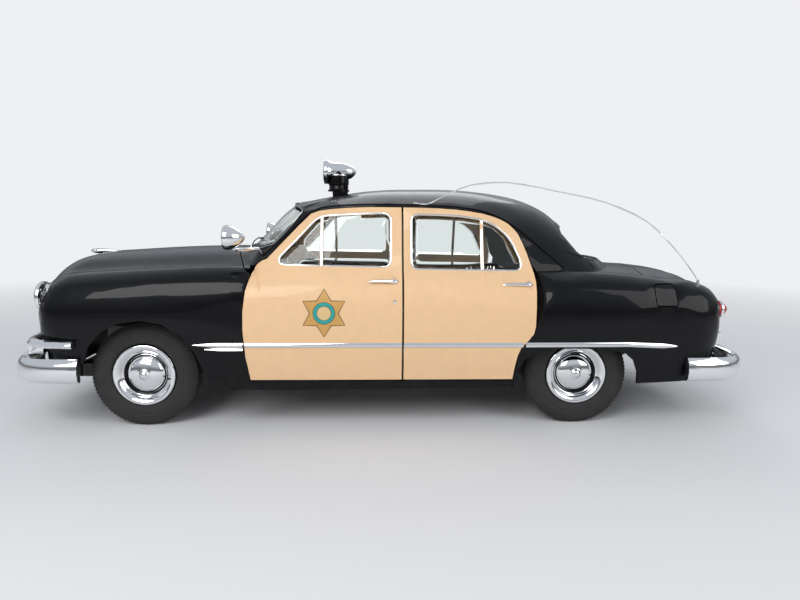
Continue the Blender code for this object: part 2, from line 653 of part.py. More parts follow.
def loop_of(*pieces):
    """One loop from runs of points, with points that fall together left out."""
    found = np.concatenate([np.atleast_2d(piece) for piece in pieces])
    keep = [found[0]]
    for point in found[1:]:
        if np.linalg.norm(point - keep[-1]) > 0.004:
            keep.append(point)
    if np.linalg.norm(keep[0] - keep[-1]) < 0.004:
        keep.pop()
    return np.array(keep)


DOORS = {"front": side(FRONT_DOOR_SHARES), "rear": side(REAR_DOOR_SHARES)}
WINDOWS = {"front": side(FRONT_WINDOW_SHARES), "rear": side(REAR_WINDOW_SHARES)}
HOLES = {key: grown(loop, HALF_GAP) for key, loop in DOORS.items()}
SILL_Z = float(DOORS["front"][:, 1].min())
foot_order = np.argsort(FOOT_POINTS[:, 0])


def foot_z(x):
    """The foot line's height at x."""
    return np.interp(x, FOOT_POINTS[foot_order, 0], FOOT_POINTS[foot_order, 2])


SEAM_LOW, SEAM_HIGH = SEAM_V - HALF_GAP, SEAM_V + HALF_GAP
SILL_END_X = (float(DOORS["front"][0, 0]) - HALF_GAP, float(DOORS["rear"][-1, 0]) + HALF_GAP)
front_hole = HOLES["front"]
rear_hole = HOLES["rear"]
bonnet_line = above(BONNET_REAR_SHARES)
bonnet_end_x = float(bonnet_line[-1, 0])
cowl_corner_x = float(front_hole[5, 0]) - 0.35 * SKIN
fender_corner_x = cowl_corner_x - 2.2 * SKIN

# Front wing
door_front = body_side(front_hole[:6])
arch_front = body_side(side(FRONT_ARCH_SHARES))
wing_arch_rear_u = u_for(float(side(FRONT_ARCH_SHARES)[-1, 0]) + 1.5 * SKIN, 0)[0]
sill_front_u = u_for(SILL_END_X[0], 0)[0]
nose_low = arch_front[0]
wing_loop = loop_of(
    run((0, SEAM_LOW), (u_for(bonnet_end_x, SEAM_LOW)[0], SEAM_LOW)),
    run((u_for(bonnet_end_x, SEAM_LOW)[0], SEAM_LOW), (u_for(fender_corner_x, CROWN_V)[0], CROWN_V)),
    run((u_for(fender_corner_x, CROWN_V)[0], CROWN_V), door_front[-1]),
    along(door_front[::-1], SPACING),
    run(door_front[0], (sill_front_u, 0)),
    run((sill_front_u, 0), (wing_arch_rear_u, 0)),
    along(arch_front[::-1], SPACING),
    run(nose_low, (0, 0)),
    run((0, 0), (0, SEAM_LOW)),
)

# Bonnet
bonnet_uv = BODY.locate([0, 1], bonnet_line, v_range=(SEAM_V - 0.05, BODY.v_end))
bonnet_uv[0, 1] = BODY.v_end
bonnet_uv[-1, 1] = SEAM_HIGH
bonnet_loop = loop_of(
    run((0, SEAM_HIGH), bonnet_uv[-1]),
    along(bonnet_uv[::-1], SPACING),
    run((bonnet_uv[0, 0], BODY.v_end), (0, BODY.v_end)),
    run((0, BODY.v_end), (0, SEAM_HIGH)),
)

# Cowl
foot_body = foot_on_body(slice(None))
cowl_foot = foot_body[(FOOT_POINTS[:, 0] < cowl_corner_x + 0.3 * SKIN) & (np.arange(FOOT_COUNT) < FOOT_COUNT / 2)]
cowl_foot[0, 1] = BODY.v_end
cowl_line = bonnet_uv + [PANEL_GAP, 0]
cowl_loop = loop_of(
    cowl_line,
    (u_for(fender_corner_x, CROWN_V)[0] + PANEL_GAP, CROWN_V + HALF_GAP),
    (u_for(cowl_corner_x, CROWN_V)[0], CROWN_V + HALF_GAP),
    cowl_foot[::-1],
)

# Sill
sill_top = body_side(along([(SILL_END_X[0] + PANEL_GAP, SILL_Z - PANEL_GAP), (SILL_END_X[1] - PANEL_GAP, SILL_Z - PANEL_GAP)], SPACING))
sill_loop = loop_of(sill_top, run((sill_top[-1][0], 0), (sill_top[0][0], 0)), (sill_top[0][0], 0))

# Rear wing, deck and boot lid
foot_rear = np.arange(FOOT_COUNT) > FOOT_COUNT / 2
door_rear_side = rear_hole[17:]
quarter_top_x = float(rear_hole[17, 0])
wing_foot = foot_body[foot_rear & (FOOT_POINTS[:, 0] > quarter_top_x) & (foot_body[:, 1] < SEAM_LOW)]
deck_foot = foot_body[foot_rear & (foot_body[:, 1] > SEAM_HIGH)]
deck_foot[-1, 1] = BODY.v_end
boot_line = BODY.locate([0, 1], above(BOOT_FRONT_SHARES), v_range=(SEAM_V - 0.05, BODY.v_end))
boot_line[0, 1] = BODY.v_end
boot_line[-1, 1] = SEAM_HIGH
arch_rear = body_side(side(REAR_ARCH_SHARES))
door_rear = body_side(door_rear_side)
FUEL_DOOR_SHARES = (
    (1.3385, 0.5165), (1.4285, 0.5165), (1.4350, 0.5235), (1.4350, 0.5950), (1.4285, 0.6020), (1.3385, 0.6020),
    (1.3320, 0.5950), (1.3320, 0.5235),
)
FUEL_DOOR_WALL = 0.008
fuel_line = side(FUEL_DOOR_SHARES)
fuel_hole = body_side(grown(fuel_line, HALF_GAP))
fuel_panel = body_side(grown(fuel_line, -HALF_GAP))
quarter_loop = loop_of(
    run((BODY.u_end, SEAM_LOW), (BODY.u_end, 0)),
    run((BODY.u_end, 0), (arch_rear[-1][0], 0)),
    (arch_rear[-1][0], 0),
    along(arch_rear[::-1], SPACING),
    (u_for(SILL_END_X[1] + PANEL_GAP, 0)[0] + SKIN, 0),
    (u_for(SILL_END_X[1], 0)[0], 0),
    door_rear[::-1],
    wing_foot,
    (deck_foot[0][0] - HALF_GAP, SEAM_LOW),
    run((deck_foot[0][0], SEAM_LOW), (BODY.u_end, SEAM_LOW)),
)
deck_loop = loop_of(
    deck_foot,
    run((deck_foot[-1][0], BODY.v_end), (boot_line[0][0] - PANEL_GAP, BODY.v_end)),
    boot_line - [PANEL_GAP, 0],
    run((boot_line[-1][0] - PANEL_GAP, SEAM_HIGH), (deck_foot[0][0], SEAM_HIGH)),
)
boot_loop = loop_of(
    run((boot_line[-1][0], SEAM_HIGH), (BODY.u_end, SEAM_HIGH)),
    run((BODY.u_end, SEAM_HIGH), (BODY.u_end, BODY.v_end)),
    run((BODY.u_end, BODY.v_end), (boot_line[0][0], BODY.v_end)),
    boot_line,
)

# Cabin shell
shell_foot = FOOT + [0, SEAT_GAP]
screen_uv = CABIN.locate([1, 2], along(front(SCREEN_SHARES), SPACING), u_range=(0, CABIN.u_knots[4]))
screen_uv[0, 0] = screen_uv[-1, 0] = 0
back_uv = CABIN.locate([1, 2], along(front(BACKLIGHT_SHARES), SPACING), u_range=(CABIN.u_knots[7], CABIN.u_end))
back_uv[0, 0] = back_uv[-1, 0] = CABIN.u_end
doorway = np.array([p for p in grown(np.concatenate([DOORS["front"][:-1], DOORS["rear"][2:]]), HALF_GAP)])
doorway = doorway[doorway[:, 1] > foot_z(doorway[:, 0]) + 0.3 * SKIN]
doorway_uv = CABIN.locate([0, 2], along(doorway, SPACING), u_range=(CABIN.u_knots[1], CABIN.u_knots[9]))
front_foot = shell_foot[shell_foot[:, 0] < doorway_uv[0, 0] - SKIN]
rear_foot = shell_foot[shell_foot[:, 0] > doorway_uv[-1, 0] + SKIN]
shell_loop = loop_of(
    front_foot,
    (doorway_uv[0, 0] - 0.4 * SKIN, float(np.interp(doorway_uv[0, 0], *shell_foot.T))),
    doorway_uv,
    (doorway_uv[-1, 0] + 0.4 * SKIN, float(np.interp(doorway_uv[-1, 0], *shell_foot.T))),
    rear_foot,
    run(rear_foot[-1], back_uv[0]),
    back_uv,
    run(back_uv[-1], (CABIN.u_end, CABIN.v_end)),
    run((CABIN.u_end, CABIN.v_end), (0, CABIN.v_end))[1:],
    run((0, CABIN.v_end), screen_uv[-1])[1:],
    screen_uv[::-1],
    run(screen_uv[0], front_foot[0]),
)

# Front and rear lamps in the wings
HEADLAMP_Y_SHARE = 0.76257
HEADLAMP_Y = HEADLAMP_Y_SHARE * HALF_WIDTH
HEADLAMP_Z_SHARE = 0.53707
HEADLAMP_Z = HEADLAMP_Z_SHARE * HEIGHT
HEADLAMP_RADIUS_SHARE = 0.05607
HEADLAMP_RADIUS = HEADLAMP_RADIUS_SHARE * HEIGHT
TAIL_LAMP_Y_SHARE = 0.79502
TAIL_LAMP_Y = TAIL_LAMP_Y_SHARE * HALF_WIDTH
TAIL_LAMP_Z_SHARE = 0.48972
TAIL_LAMP_Z = TAIL_LAMP_Z_SHARE * HEIGHT
TAIL_LAMP_RADIUS_SHARE = 0.03240
TAIL_LAMP_RADIUS = TAIL_LAMP_RADIUS_SHARE * HEIGHT
LAMP_GAP = 0.0010
HEADLAMP_REACH_SHARE = 0.22617
HEADLAMP_REACH = HEADLAMP_REACH_SHARE * WHEELBASE
TAIL_LAMP_REACH_SHARE = 0.34530
TAIL_LAMP_REACH = TAIL_LAMP_REACH_SHARE * WHEELBASE
LAMP_REACH_SHARE = 0.13812
LAMP_REACH = LAMP_REACH_SHARE * WHEELBASE
LAMP_STEPS = 16

lamp_cutters = {}
for key, y, z, radius, x in (
    ("head", HEADLAMP_Y, HEADLAMP_Z, HEADLAMP_RADIUS, FRONT_AXLE_X - FRONT_OVERHANG),
    ("tail", TAIL_LAMP_Y, TAIL_LAMP_Z, TAIL_LAMP_RADIUS, REAR_AXLE_X + REAR_OVERHANG - LAMP_REACH),
):
    for tag, sign in SIDES:
        profile = ((0, 0), (radius + LAMP_GAP, 0), (radius + LAMP_GAP, LAMP_REACH * 1.5), (0, LAMP_REACH * 1.5))
        made = turned(f"{key}_hole_{tag}", profile, None, LAMP_STEPS, (x, sign * y, z), (1, 0, 0))
        lamp_cutters[key, tag] = helper(made)

skin_panel("hood", BODY, [bonnet_loop], SKIN, BLACK, half=True)
skin_panel("cowl", BODY, [cowl_loop], SKIN, BLACK, half=True)
skin_panel("rear_deck", BODY, [deck_loop], SKIN, BLACK, half=True)
skin_panel("trunk_lid", BODY, [boot_loop], SKIN, BLACK, half=True)
skin_panel("roof_shell", CABIN, [shell_loop], ROOF_WALL, BLACK, half=True)
for tag, sign in SIDES:
    wing = skin_panel(f"front_fender_{tag}", BODY, [wing_loop], SKIN, BLACK, sign=sign)
    cut(wing, lamp_cutters["head", tag])
    holes = [fuel_hole] if sign < 0 else []
    quarter = skin_panel(f"quarter_{tag}", BODY, [quarter_loop, *holes], SKIN, BLACK, sign=sign)
    cut(quarter, lamp_cutters["tail", tag])
    skin_panel(f"sill_{tag}", BODY, [sill_loop], SKIN, BLACK, sign=sign)

skin_panel("fuel_door", BODY, [fuel_panel], FUEL_DOOR_WALL, BLACK, sign=-1)

# Windscreen and rear window: sheets of glass set in the shell's openings
GLASS_RECESS = 0.009
GLASS_GAP = 0.0008
SCREEN_TRIM = 0.008
SCREEN_TUCK = 0.006
CUTTER_DEPTH = 0.090


class Sunk:
    """A skin moved inwards by a depth."""

    def __init__(self, skin, depth):
        self.skin, self.depth = skin, depth

    def point(self, uv):
        nudge = 1e-3
        uv = np.asarray(uv, float).reshape(-1, 2)
        du = self.skin.point(uv + [nudge, 0]) - self.skin.point(uv - [nudge, 0])
        dv = self.skin.point(uv + [0, nudge]) - self.skin.point(uv - [0, nudge])
        normal = np.cross(dv, du)
        normal /= np.linalg.norm(normal, axis=1)[:, None]
        found = self.skin.point(uv) - self.depth * normal
        found[np.abs(self.skin.point(uv)[:, 1]) < 1e-6, 1] = 0
        return found


def half_loop(uv, edge, by):
    """A window's half outline moved outwards by a distance, with its ends kept on the centre line."""
    ends = np.concatenate([uv, uv[::-1] * [-1, 1] + [2 * edge, 0]])
    loop = grown(ends, by)[: len(uv)]
    loop[0, 0] = loop[-1, 0] = edge
    return loop_of(loop, run(loop[-1], loop[0]))


for name, uv, edge in (("windshield", screen_uv, 0.0), ("rear_window", back_uv, CABIN.u_end)):
    skin_panel(name, Sunk(CABIN, GLASS_RECESS), [half_loop(uv, edge, SCREEN_TRIM + SCREEN_TUCK)], GLASS, CLEAR, half=True)
    pocket = [half_loop(uv, edge, SCREEN_TRIM + SCREEN_TUCK + SEAT_GAP)]
    groove = skin_panel(f"{name}_groove", Sunk(CABIN, GLASS_RECESS - SEAT_GAP), pocket, GLASS + 2 * SEAT_GAP, None, half=True)
    cut(bpy.data.objects["roof_shell"], helper(groove))
    opening = [half_loop(uv, edge, SCREEN_TRIM)]
    cutter = skin_panel(f"{name}_cutter", Sunk(CABIN, -ROOF_WALL), opening, CUTTER_DEPTH, None, half=True)
    cut(bpy.data.objects["roof_shell"], helper(cutter))

def seat_cutter(name, skin, loop, wall, sign):
    """A panel's own shape, a seat gap larger on both faces, to cut what rests on it."""
    return helper(skin_panel(name, Sunk(skin, -SEAT_GAP), [loop], wall + 2 * SEAT_GAP, None, sign=sign))


wing_seat = {tag: seat_cutter(f"front_fender_seat_{tag}", BODY, wing_loop, SKIN, sign) for tag, sign in SIDES}
quarter_seat = {tag: seat_cutter(f"quarter_seat_{tag}", BODY, quarter_loop, SKIN, sign) for tag, sign in SIDES}
sill_seat = {tag: seat_cutter(f"sill_seat_{tag}", BODY, sill_loop, SKIN, sign) for tag, sign in SIDES}
roof_seat = helper(skin_panel("roof_seat", Sunk(CABIN, -SEAT_GAP), [shell_loop], ROOF_WALL, None, half=True))



def lid_seat(name, loop):
    """A lid's own shape, a seat gap larger on its faces and at its sides."""
    eased = loop - [0, SEAT_GAP] * (loop[:, 1:] < SEAM_HIGH + SEAT_GAP)
    return helper(skin_panel(name, Sunk(BODY, -SEAT_GAP), [eased], SKIN + 2 * SEAT_GAP, None, half=True))


hood_seat = lid_seat("hood_seat", bonnet_loop)
boot_seat = lid_seat("trunk_lid_seat", boot_loop)
REST_HALF = 0.018
REST_DEPTH = 0.045


def rest(name, panel, u, tag, sign, seat):
    """A stop on a wing's inner edge that a lid comes down on, cut to the lid's own underside."""
    edge = BODY.point([(u, SEAM_LOW - REST_HALF / 2)])[0]
    within = BODY.point([(u, SEAM_HIGH + REST_HALF)])[0]
    low = (edge[0] - REST_HALF, min(sign * edge[1], sign * within[1]), min(edge[2], within[2]) - REST_DEPTH)
    high = (edge[0] + REST_HALF, max(sign * edge[1], sign * within[1]), edge[2] - SKIN / 4)
    cut(panel, helper(box(f"{name}_{tag}", low, high, None)), "UNION")
    cut(panel, seat)


# A lip behind the fuel door's upper edge, for its hinge
FUEL_LIP_GAP = 0.0009
FUEL_LIP_SHARES = ((-1, -0.6), (1, -0.6), (1, 1), (-1, 1))
fuel_low, fuel_high = fuel_line.min(axis=0), fuel_line.max(axis=0)
lip_x, lip_z = (fuel_low[0] + fuel_high[0]) / 2, fuel_high[1]
lip = [(lip_x + x * REST_HALF, lip_z + z * REST_HALF) for x, z in FUEL_LIP_SHARES]
fuel_rest = skin_panel("fuel_rest", Sunk(BODY, FUEL_DOOR_WALL + FUEL_LIP_GAP), [body_side(lip)], SKIN / 2, None, sign=-1)
cut(bpy.data.objects["quarter_l"], helper(fuel_rest), "UNION")
HOOD_REST_SHARES = (0.30, 0.85)
BOOT_REST_SHARES = (0.15, 0.70)
for tag, sign in SIDES:
    for share in HOOD_REST_SHARES:
        rest(f"hood_rest_{share}", bpy.data.objects[f"front_fender_{tag}"], share * bonnet_uv[-1, 0], tag, sign, hood_seat)
    for share in BOOT_REST_SHARES:
        at_u = boot_line[-1, 0] + share * (BODY.u_end - boot_line[-1, 0])
        rest(f"boot_rest_{share}", bpy.data.objects[f"quarter_{tag}"], at_u, tag, sign, boot_seat)

# Doors and their glass: outer faces on the skins, inner faces drawn in from the edges
RIM_INSET = 0.020
WALL_CHANGE = 0.080


def side_y(points):
    """The car's half width at side-view points: the lower body's below the foot line, the cabin's above it."""
    points = np.asarray(points, float)
    low = points[:, 1] < foot_z(points[:, 0])
    y = np.zeros(len(points))
    if low.any():
        y[low] = BODY.point(body_side(points[low]))[:, 1]
    if (~low).any():
        spots = CABIN.locate([0, 2], points[~low], u_range=(CABIN.u_knots[1], CABIN.u_knots[9]))
        y[~low] = CABIN.point(spots)[:, 1]
    return y


def slab(name, loops, y_outer, wall_of, look, sign, inset=0.0, spacing=SPACING, rows=()):
    """A plate seen from the side: its outer face lies at y_outer, and its inner face a wall further in."""
    flat, faces = fill(loops, spacing, rows)
    outer = np.stack([flat[:, 0], y_outer(flat), flat[:, 1]], axis=1)
    inner_flat = flat.copy()
    rim = loops[0]
    drawn = grown(rim, -inset) if inset else rim
    for k, point in enumerate(rim):
        inner_flat[np.linalg.norm(flat - point, axis=1) < 1e-5] = drawn[k]
    inner = np.stack([inner_flat[:, 0], y_outer(inner_flat) - wall_of(inner_flat), inner_flat[:, 1]], axis=1)
    count = len(flat)
    ends = {}
    for a, b, c in faces:
        for edge in ((a, b), (b, c), (c, a)):
            ends[edge] = True
    walls = [(a, b, b + count, a + count) for a, b in ends if (b, a) not in ends]
    points = np.concatenate([outer, inner]) * [1, sign, 1]
    obj = add_mesh(name, points, [tuple(f) for f in faces] + [tuple(f[::-1] + count) for f in faces] + walls, look)
    outward(obj)
    return obj


def door_wall(points):
    above_ = np.clip((points[:, 1] - foot_z(points[:, 0]) + WALL_CHANGE) / WALL_CHANGE, 0, 1)
    return DOOR_WALL + (FRAME_WALL - DOOR_WALL) * above_


POST_SHARES = {"front": (-0.1885, 0.665, 0.875), "rear": (0.5435, 0.650, 0.865)}
POST_HALF = 0.011
POST_SINK = 0.001
POST_STEP = 0.050
HANDLE_SHARES = {"front": (0.0325, 0.1554, 0.612), "rear": (0.6333, 0.7638, 0.600)}
HANDLE_HALF = 0.010
HANDLE_STAND = 0.022
HANDLE_THICKNESS = 0.013
HANDLE_SINK = 0.030
HANDLE_FOOT_HALF = 0.008
LEAF_HEIGHT_SHARES = (0.34, 0.50)
LEAF_HALF = 0.028
LEAF_REACH = 0.030
LEAF_DEPTH = 0.045
LEAF_INSET = 0.014
LEAF_CLOSER = 0.0016
LEAF_THICKNESS = 0.003


def add_post(door, place_name, tag, sign):
    """The bright bar between a door's fixed quarter light and its window, outside the glass."""
    x_share, low_share, high_share = POST_SHARES[place_name]
    x = MIDDLE_X + x_share * HALF_BASE
    outline = along([(x - POST_HALF, low_share * HEIGHT), (x + POST_HALF, low_share * HEIGHT), (x + POST_HALF, high_share * HEIGHT), (x - POST_HALF, high_share * HEIGHT)], POST_STEP, closed=True)
    depth = GLASS_RECESS - GLASS_GAP - 3 * POST_SINK
    post = slab(f"post_{place_name}_{tag}", [outline], lambda p: side_y(p) - POST_SINK, lambda p: np.full(len(p), depth), None, sign)
    cut(door, helper(post), "UNION")


def add_handle(door, place_name, tag, sign):
    """A pull handle: a bar that stands off the door on two feet."""
    start, end, height = HANDLE_SHARES[place_name]
    start_x, end_x, z = MIDDLE_X + start * HALF_BASE, MIDDLE_X + end * HALF_BASE, height * HEIGHT
    spans = (
        (start_x, end_x, HANDLE_STAND, HANDLE_THICKNESS, HANDLE_HALF),
        (start_x + HANDLE_HALF, start_x + 3 * HANDLE_HALF, -HANDLE_SINK, HANDLE_SINK + HANDLE_STAND + HANDLE_THICKNESS / 2, HANDLE_FOOT_HALF),
        (end_x - 4 * HANDLE_HALF, end_x - 2 * HANDLE_HALF, -HANDLE_SINK, HANDLE_SINK + HANDLE_STAND + HANDLE_THICKNESS / 2, HANDLE_FOOT_HALF),
    )
    for k, (low_x, high_x, stand, thickness, half) in enumerate(spans):
        rings = []
        for x in (low_x, high_x):
            y = float(side_y(np.array([(x, z)]))[0]) + stand
            rings.append([(x, sign * y, z - half), (x, sign * y, z + half), (x, sign * (y + thickness), z + half), (x, sign * (y + thickness), z - half)])
        cut(door, helper(loft(f"handle_{place_name}_{tag}_{k}", rings, None)), "UNION")


def front_x(outline, z):
    """The foremost x of a closed side-view outline at a height."""
    found = []
    for (ax, az), (bx, bz) in zip(outline, np.roll(outline, -1, axis=0)):
        if (az > z) != (bz > z):
            found.append(float(ax + (bx - ax) * (z - az) / (bz - az)))
    return min(found)


def leaf(name, panel, outline, z, back, inner_y, tag, sign, closer=0.0):
    """A hinge leaf inside the gap ahead of a door, a seat gap from the door's front face."""
    heights = (z - LEAF_HALF, z, z + LEAF_HALF)
    face = min(front_x(outline, height) for height in heights) + HALF_GAP - SEAT_GAP + closer
    ys = sorted((sign * inner_y, sign * (HALF_WIDTH - LEAF_INSET)))
    piece = box(f"{name}_{tag}", (face - back, ys[0], z - LEAF_HALF), (face, ys[1], z + LEAF_HALF), None)
    cut(panel, helper(piece), "UNION")


for place_name, key in (("front", "f"), ("rear", "r")):
    shape = along(grown(DOORS[place_name], -HALF_GAP), SPACING, closed=True)
    window = along(WINDOWS[place_name], SPACING, closed=True)
    low_x, high_x = DOORS[place_name][:, 0].min(), DOORS[place_name][:, 0].max()
    rows = [(x, foot_z(x) - 0.2 * SKIN) for x in np.arange(low_x + SPACING / 2, high_x, SPACING * 0.7)]
    for tag, sign in SIDES:
        door = slab(f"door_{key}{tag}", [shape, window], side_y, door_wall, CREAM, sign, RIM_INSET, rows=rows)
        add_post(door, place_name, tag, sign)
        add_handle(door, place_name, tag, sign)
        pane = grown(window, -GLASS_GAP)
        slab(
            f"glass_{key}{tag}",
            [pane],
            lambda p: side_y(p) - GLASS_RECESS,
            lambda p: np.full(len(p), GLASS),
            CLEAR,
            sign,
        )

for tag, sign in SIDES:
    for k, share in enumerate(LEAF_HEIGHT_SHARES):
        wing = bpy.data.objects[f"front_fender_{tag}"]
        leaf(f"front_leaf_{k}", wing, DOORS["front"], share * HEIGHT, LEAF_REACH, HALF_WIDTH - LEAF_DEPTH, tag, sign, LEAF_CLOSER)

# Wheels. Tyre and rim sections are shares of the tyre's radius and width, from the axle outwards.
TYRE_STEPS = 28
RIM_STEPS = 20
TYRE_SECTION_SHARES = (
    (0.5915, 0.36), (0.620, 0.44), (0.720, 0.500), (0.870, 0.480), (0.960, 0.390), (1.0, 0.220),
    (1.0, -0.220), (0.960, -0.390), (0.870, -0.480), (0.720, -0.500), (0.620, -0.44), (0.5915, -0.36),
)
RIM_SECTION_SHARES = (
    (0.0, 0.37), (0.150, 0.33), (0.270, 0.23), (0.380, 0.15), (0.455, 0.24), (0.520, 0.42), (0.590, 0.44),
    (0.590, -0.42), (0.555, -0.42), (0.525, 0.0), (0.480, 0.12), (0.400, 0.04), (0.0, 0.04),
)
HUB_GAP = 0.00025
DRUM_RADIUS_SHARE = 0.09034
DRUM_RADIUS = DRUM_RADIUS_SHARE * HEIGHT
DRUM_WIDTH = 0.060
SPINDLE_RADIUS = 0.030
KINGPIN_Y_SHARE = 0.60573
KINGPIN_Y = KINGPIN_Y_SHARE * HALF_WIDTH
KINGPIN_RADIUS = 0.024
KINGPIN_HALF_SHARE = 0.05296
KINGPIN_HALF = KINGPIN_HALF_SHARE * HEIGHT
ARM_THICKNESS = 0.030
AXLE_RADIUS = 0.042
DIFFERENTIAL_RADIUS_SHARE = 0.08411
DIFFERENTIAL_RADIUS = DIFFERENTIAL_RADIUS_SHARE * HEIGHT
FACE_IN = HALF_TRACK + 0.04 * TYRE_WIDTH - HUB_GAP

tyre_profile = [(r * TYRE_RADIUS, h * TYRE_WIDTH) for r, h in TYRE_SECTION_SHARES]
rim_profile = [(r * TYRE_RADIUS, h * TYRE_WIDTH) for r, h in RIM_SECTION_SHARES]
for key, axle_x in (("f", FRONT_AXLE_X), ("r", REAR_AXLE_X)):
    for tag, sign in SIDES:
        hub = (axle_x, sign * HALF_TRACK, TYRE_RADIUS)
        tyre = turned(f"tyre_{key}{tag}", tyre_profile, RUBBER, TYRE_STEPS, hub, (0, sign, 0))
        wheel = turned(f"wheel_{key}{tag}", rim_profile, BLACK, TYRE_STEPS, hub, (0, sign, 0))

# The frame rails' place across the car
RAIL_Y_SHARE = 0.36236
RAIL_Y = RAIL_Y_SHARE * HALF_WIDTH
RAIL_HALF = 0.038

# Front axle: a cross-member with upper and lower arms, and a knuckle on each kingpin with its drum
CROSS_HALF_X = 0.075
CROSS_LOW_Z_SHARE = 0.12773
CROSS_LOW_Z = CROSS_LOW_Z_SHARE * HEIGHT
DRUM_IN_Y = FACE_IN - DRUM_WIDTH
for tag, sign in SIDES:
    drum_in, drum_out = DRUM_IN_Y - KINGPIN_Y, FACE_IN - HUB_GAP - KINGPIN_Y
    profile = (
        (0, KINGPIN_RADIUS / 2), (SPINDLE_RADIUS, KINGPIN_RADIUS / 2), (SPINDLE_RADIUS, drum_in), (DRUM_RADIUS, drum_in),
        (DRUM_RADIUS, drum_out), (0, drum_out),
    )
    hub = (FRONT_AXLE_X, sign * KINGPIN_Y, TYRE_RADIUS)
    knuckle = turned(f"knuckle_{tag}", profile, STEEL, LAMP_STEPS, hub, (0, sign, 0))
    pin_profile = ((0, -KINGPIN_HALF), (KINGPIN_RADIUS, -KINGPIN_HALF), (KINGPIN_RADIUS, KINGPIN_HALF), (0, KINGPIN_HALF))
    pin = turned(f"kingpin_{tag}", pin_profile, None, LAMP_STEPS, (FRONT_AXLE_X, sign * KINGPIN_Y, TYRE_RADIUS))
    cut(knuckle, helper(pin), "UNION")

cross = box(
    "front_axle",
    (FRONT_AXLE_X - CROSS_HALF_X, -KINGPIN_Y - KINGPIN_RADIUS, CROSS_LOW_Z),
    (FRONT_AXLE_X + CROSS_HALF_X, KINGPIN_Y + KINGPIN_RADIUS, TYRE_RADIUS - KINGPIN_HALF - HUB_GAP),
    STEEL,
)
for tag, sign in SIDES:
    inner = sign * (RAIL_Y + RAIL_HALF + PANEL_GAP)
    outer_ = sign * (KINGPIN_Y + KINGPIN_RADIUS)
    low_z = TYRE_RADIUS + KINGPIN_HALF + HUB_GAP
    arm = box(
        f"upper_arm_{tag}",
        (FRONT_AXLE_X - CROSS_HALF_X / 2, min(inner, outer_), low_z),
        (FRONT_AXLE_X + CROSS_HALF_X / 2, max(inner, outer_), low_z + ARM_THICKNESS),
        None,
    )
    post = box(
        f"arm_post_{tag}",
        (FRONT_AXLE_X - CROSS_HALF_X / 2, min(inner, inner + sign * ARM_THICKNESS), CROSS_LOW_Z + ARM_THICKNESS),
        (FRONT_AXLE_X + CROSS_HALF_X / 2, max(inner, inner + sign * ARM_THICKNESS), low_z + ARM_THICKNESS / 2),
        None,
    )
    cut(cross, helper(post), "UNION")
    cut(cross, helper(arm), "UNION")

# Rear axle: a solid tube with the differential in its middle and a drum at each end
axle_half = [
    (DIFFERENTIAL_RADIUS, ZERO), (DIFFERENTIAL_RADIUS * 0.85, DIFFERENTIAL_RADIUS * 0.6), (AXLE_RADIUS, DIFFERENTIAL_RADIUS * 1.3),
    (AXLE_RADIUS, DRUM_IN_Y), (DRUM_RADIUS, DRUM_IN_Y), (DRUM_RADIUS, FACE_IN - HUB_GAP), (0, FACE_IN - HUB_GAP),
]
axle_profile = [(r, -h) for r, h in axle_half[:0:-1]] + axle_half
turned("rear_axle", axle_profile, STEEL, LAMP_STEPS, (REAR_AXLE_X, ZERO, TYRE_RADIUS), (0, 1, 0))

# Floor: a pan between the sills, a bulkhead at the front, pillars at the doors' meeting, and a raised boot floor
FLOOR_Z_SHARE = 0.17757
FLOOR_Z = FLOOR_Z_SHARE * HEIGHT
FLOOR_THICKNESS = 0.025
FLOOR_HALF_WIDTH_SHARE = 0.92158
FLOOR_HALF_WIDTH = FLOOR_HALF_WIDTH_SHARE * HALF_WIDTH
BULKHEAD_SHARE = 0.24171
BULKHEAD_X = FRONT_AXLE_X + BULKHEAD_SHARE * WHEELBASE
BULKHEAD_THICKNESS = 0.030
BULKHEAD_TOP_SHARE = 0.61059
BULKHEAD_TOP = BULKHEAD_TOP_SHARE * HEIGHT
BULKHEAD_HALF_WIDTH_SHARE = 0.80043
BULKHEAD_HALF_WIDTH = BULKHEAD_HALF_WIDTH_SHARE * HALF_WIDTH
FLOOR_REAR_SHARE = 0.14503
FLOOR_REAR_X = REAR_AXLE_X - FLOOR_REAR_SHARE * WHEELBASE
BOOT_FLOOR_Z_SHARE = 0.34891
BOOT_FLOOR_Z = BOOT_FLOOR_Z_SHARE * HEIGHT
BOOT_FLOOR_HALF_WIDTH_SHARE = 0.60573
BOOT_FLOOR_HALF_WIDTH = BOOT_FLOOR_HALF_WIDTH_SHARE * HALF_WIDTH
BOOT_REAR_SHARE = 0.29696
BOOT_REAR_X = REAR_AXLE_X + BOOT_REAR_SHARE * WHEELBASE
PILLAR_HALF_X_SHARE = 0.01209
PILLAR_HALF_X = PILLAR_HALF_X_SHARE * WHEELBASE
PILLAR_LOW_Y_SHARE = 0.83288
PILLAR_LOW_Y = PILLAR_LOW_Y_SHARE * HALF_WIDTH
PILLAR_TOP_Y_SHARE = 0.64900
PILLAR_TOP_Y = PILLAR_TOP_Y_SHARE * HALF_WIDTH
PILLAR_DEPTH = 0.040

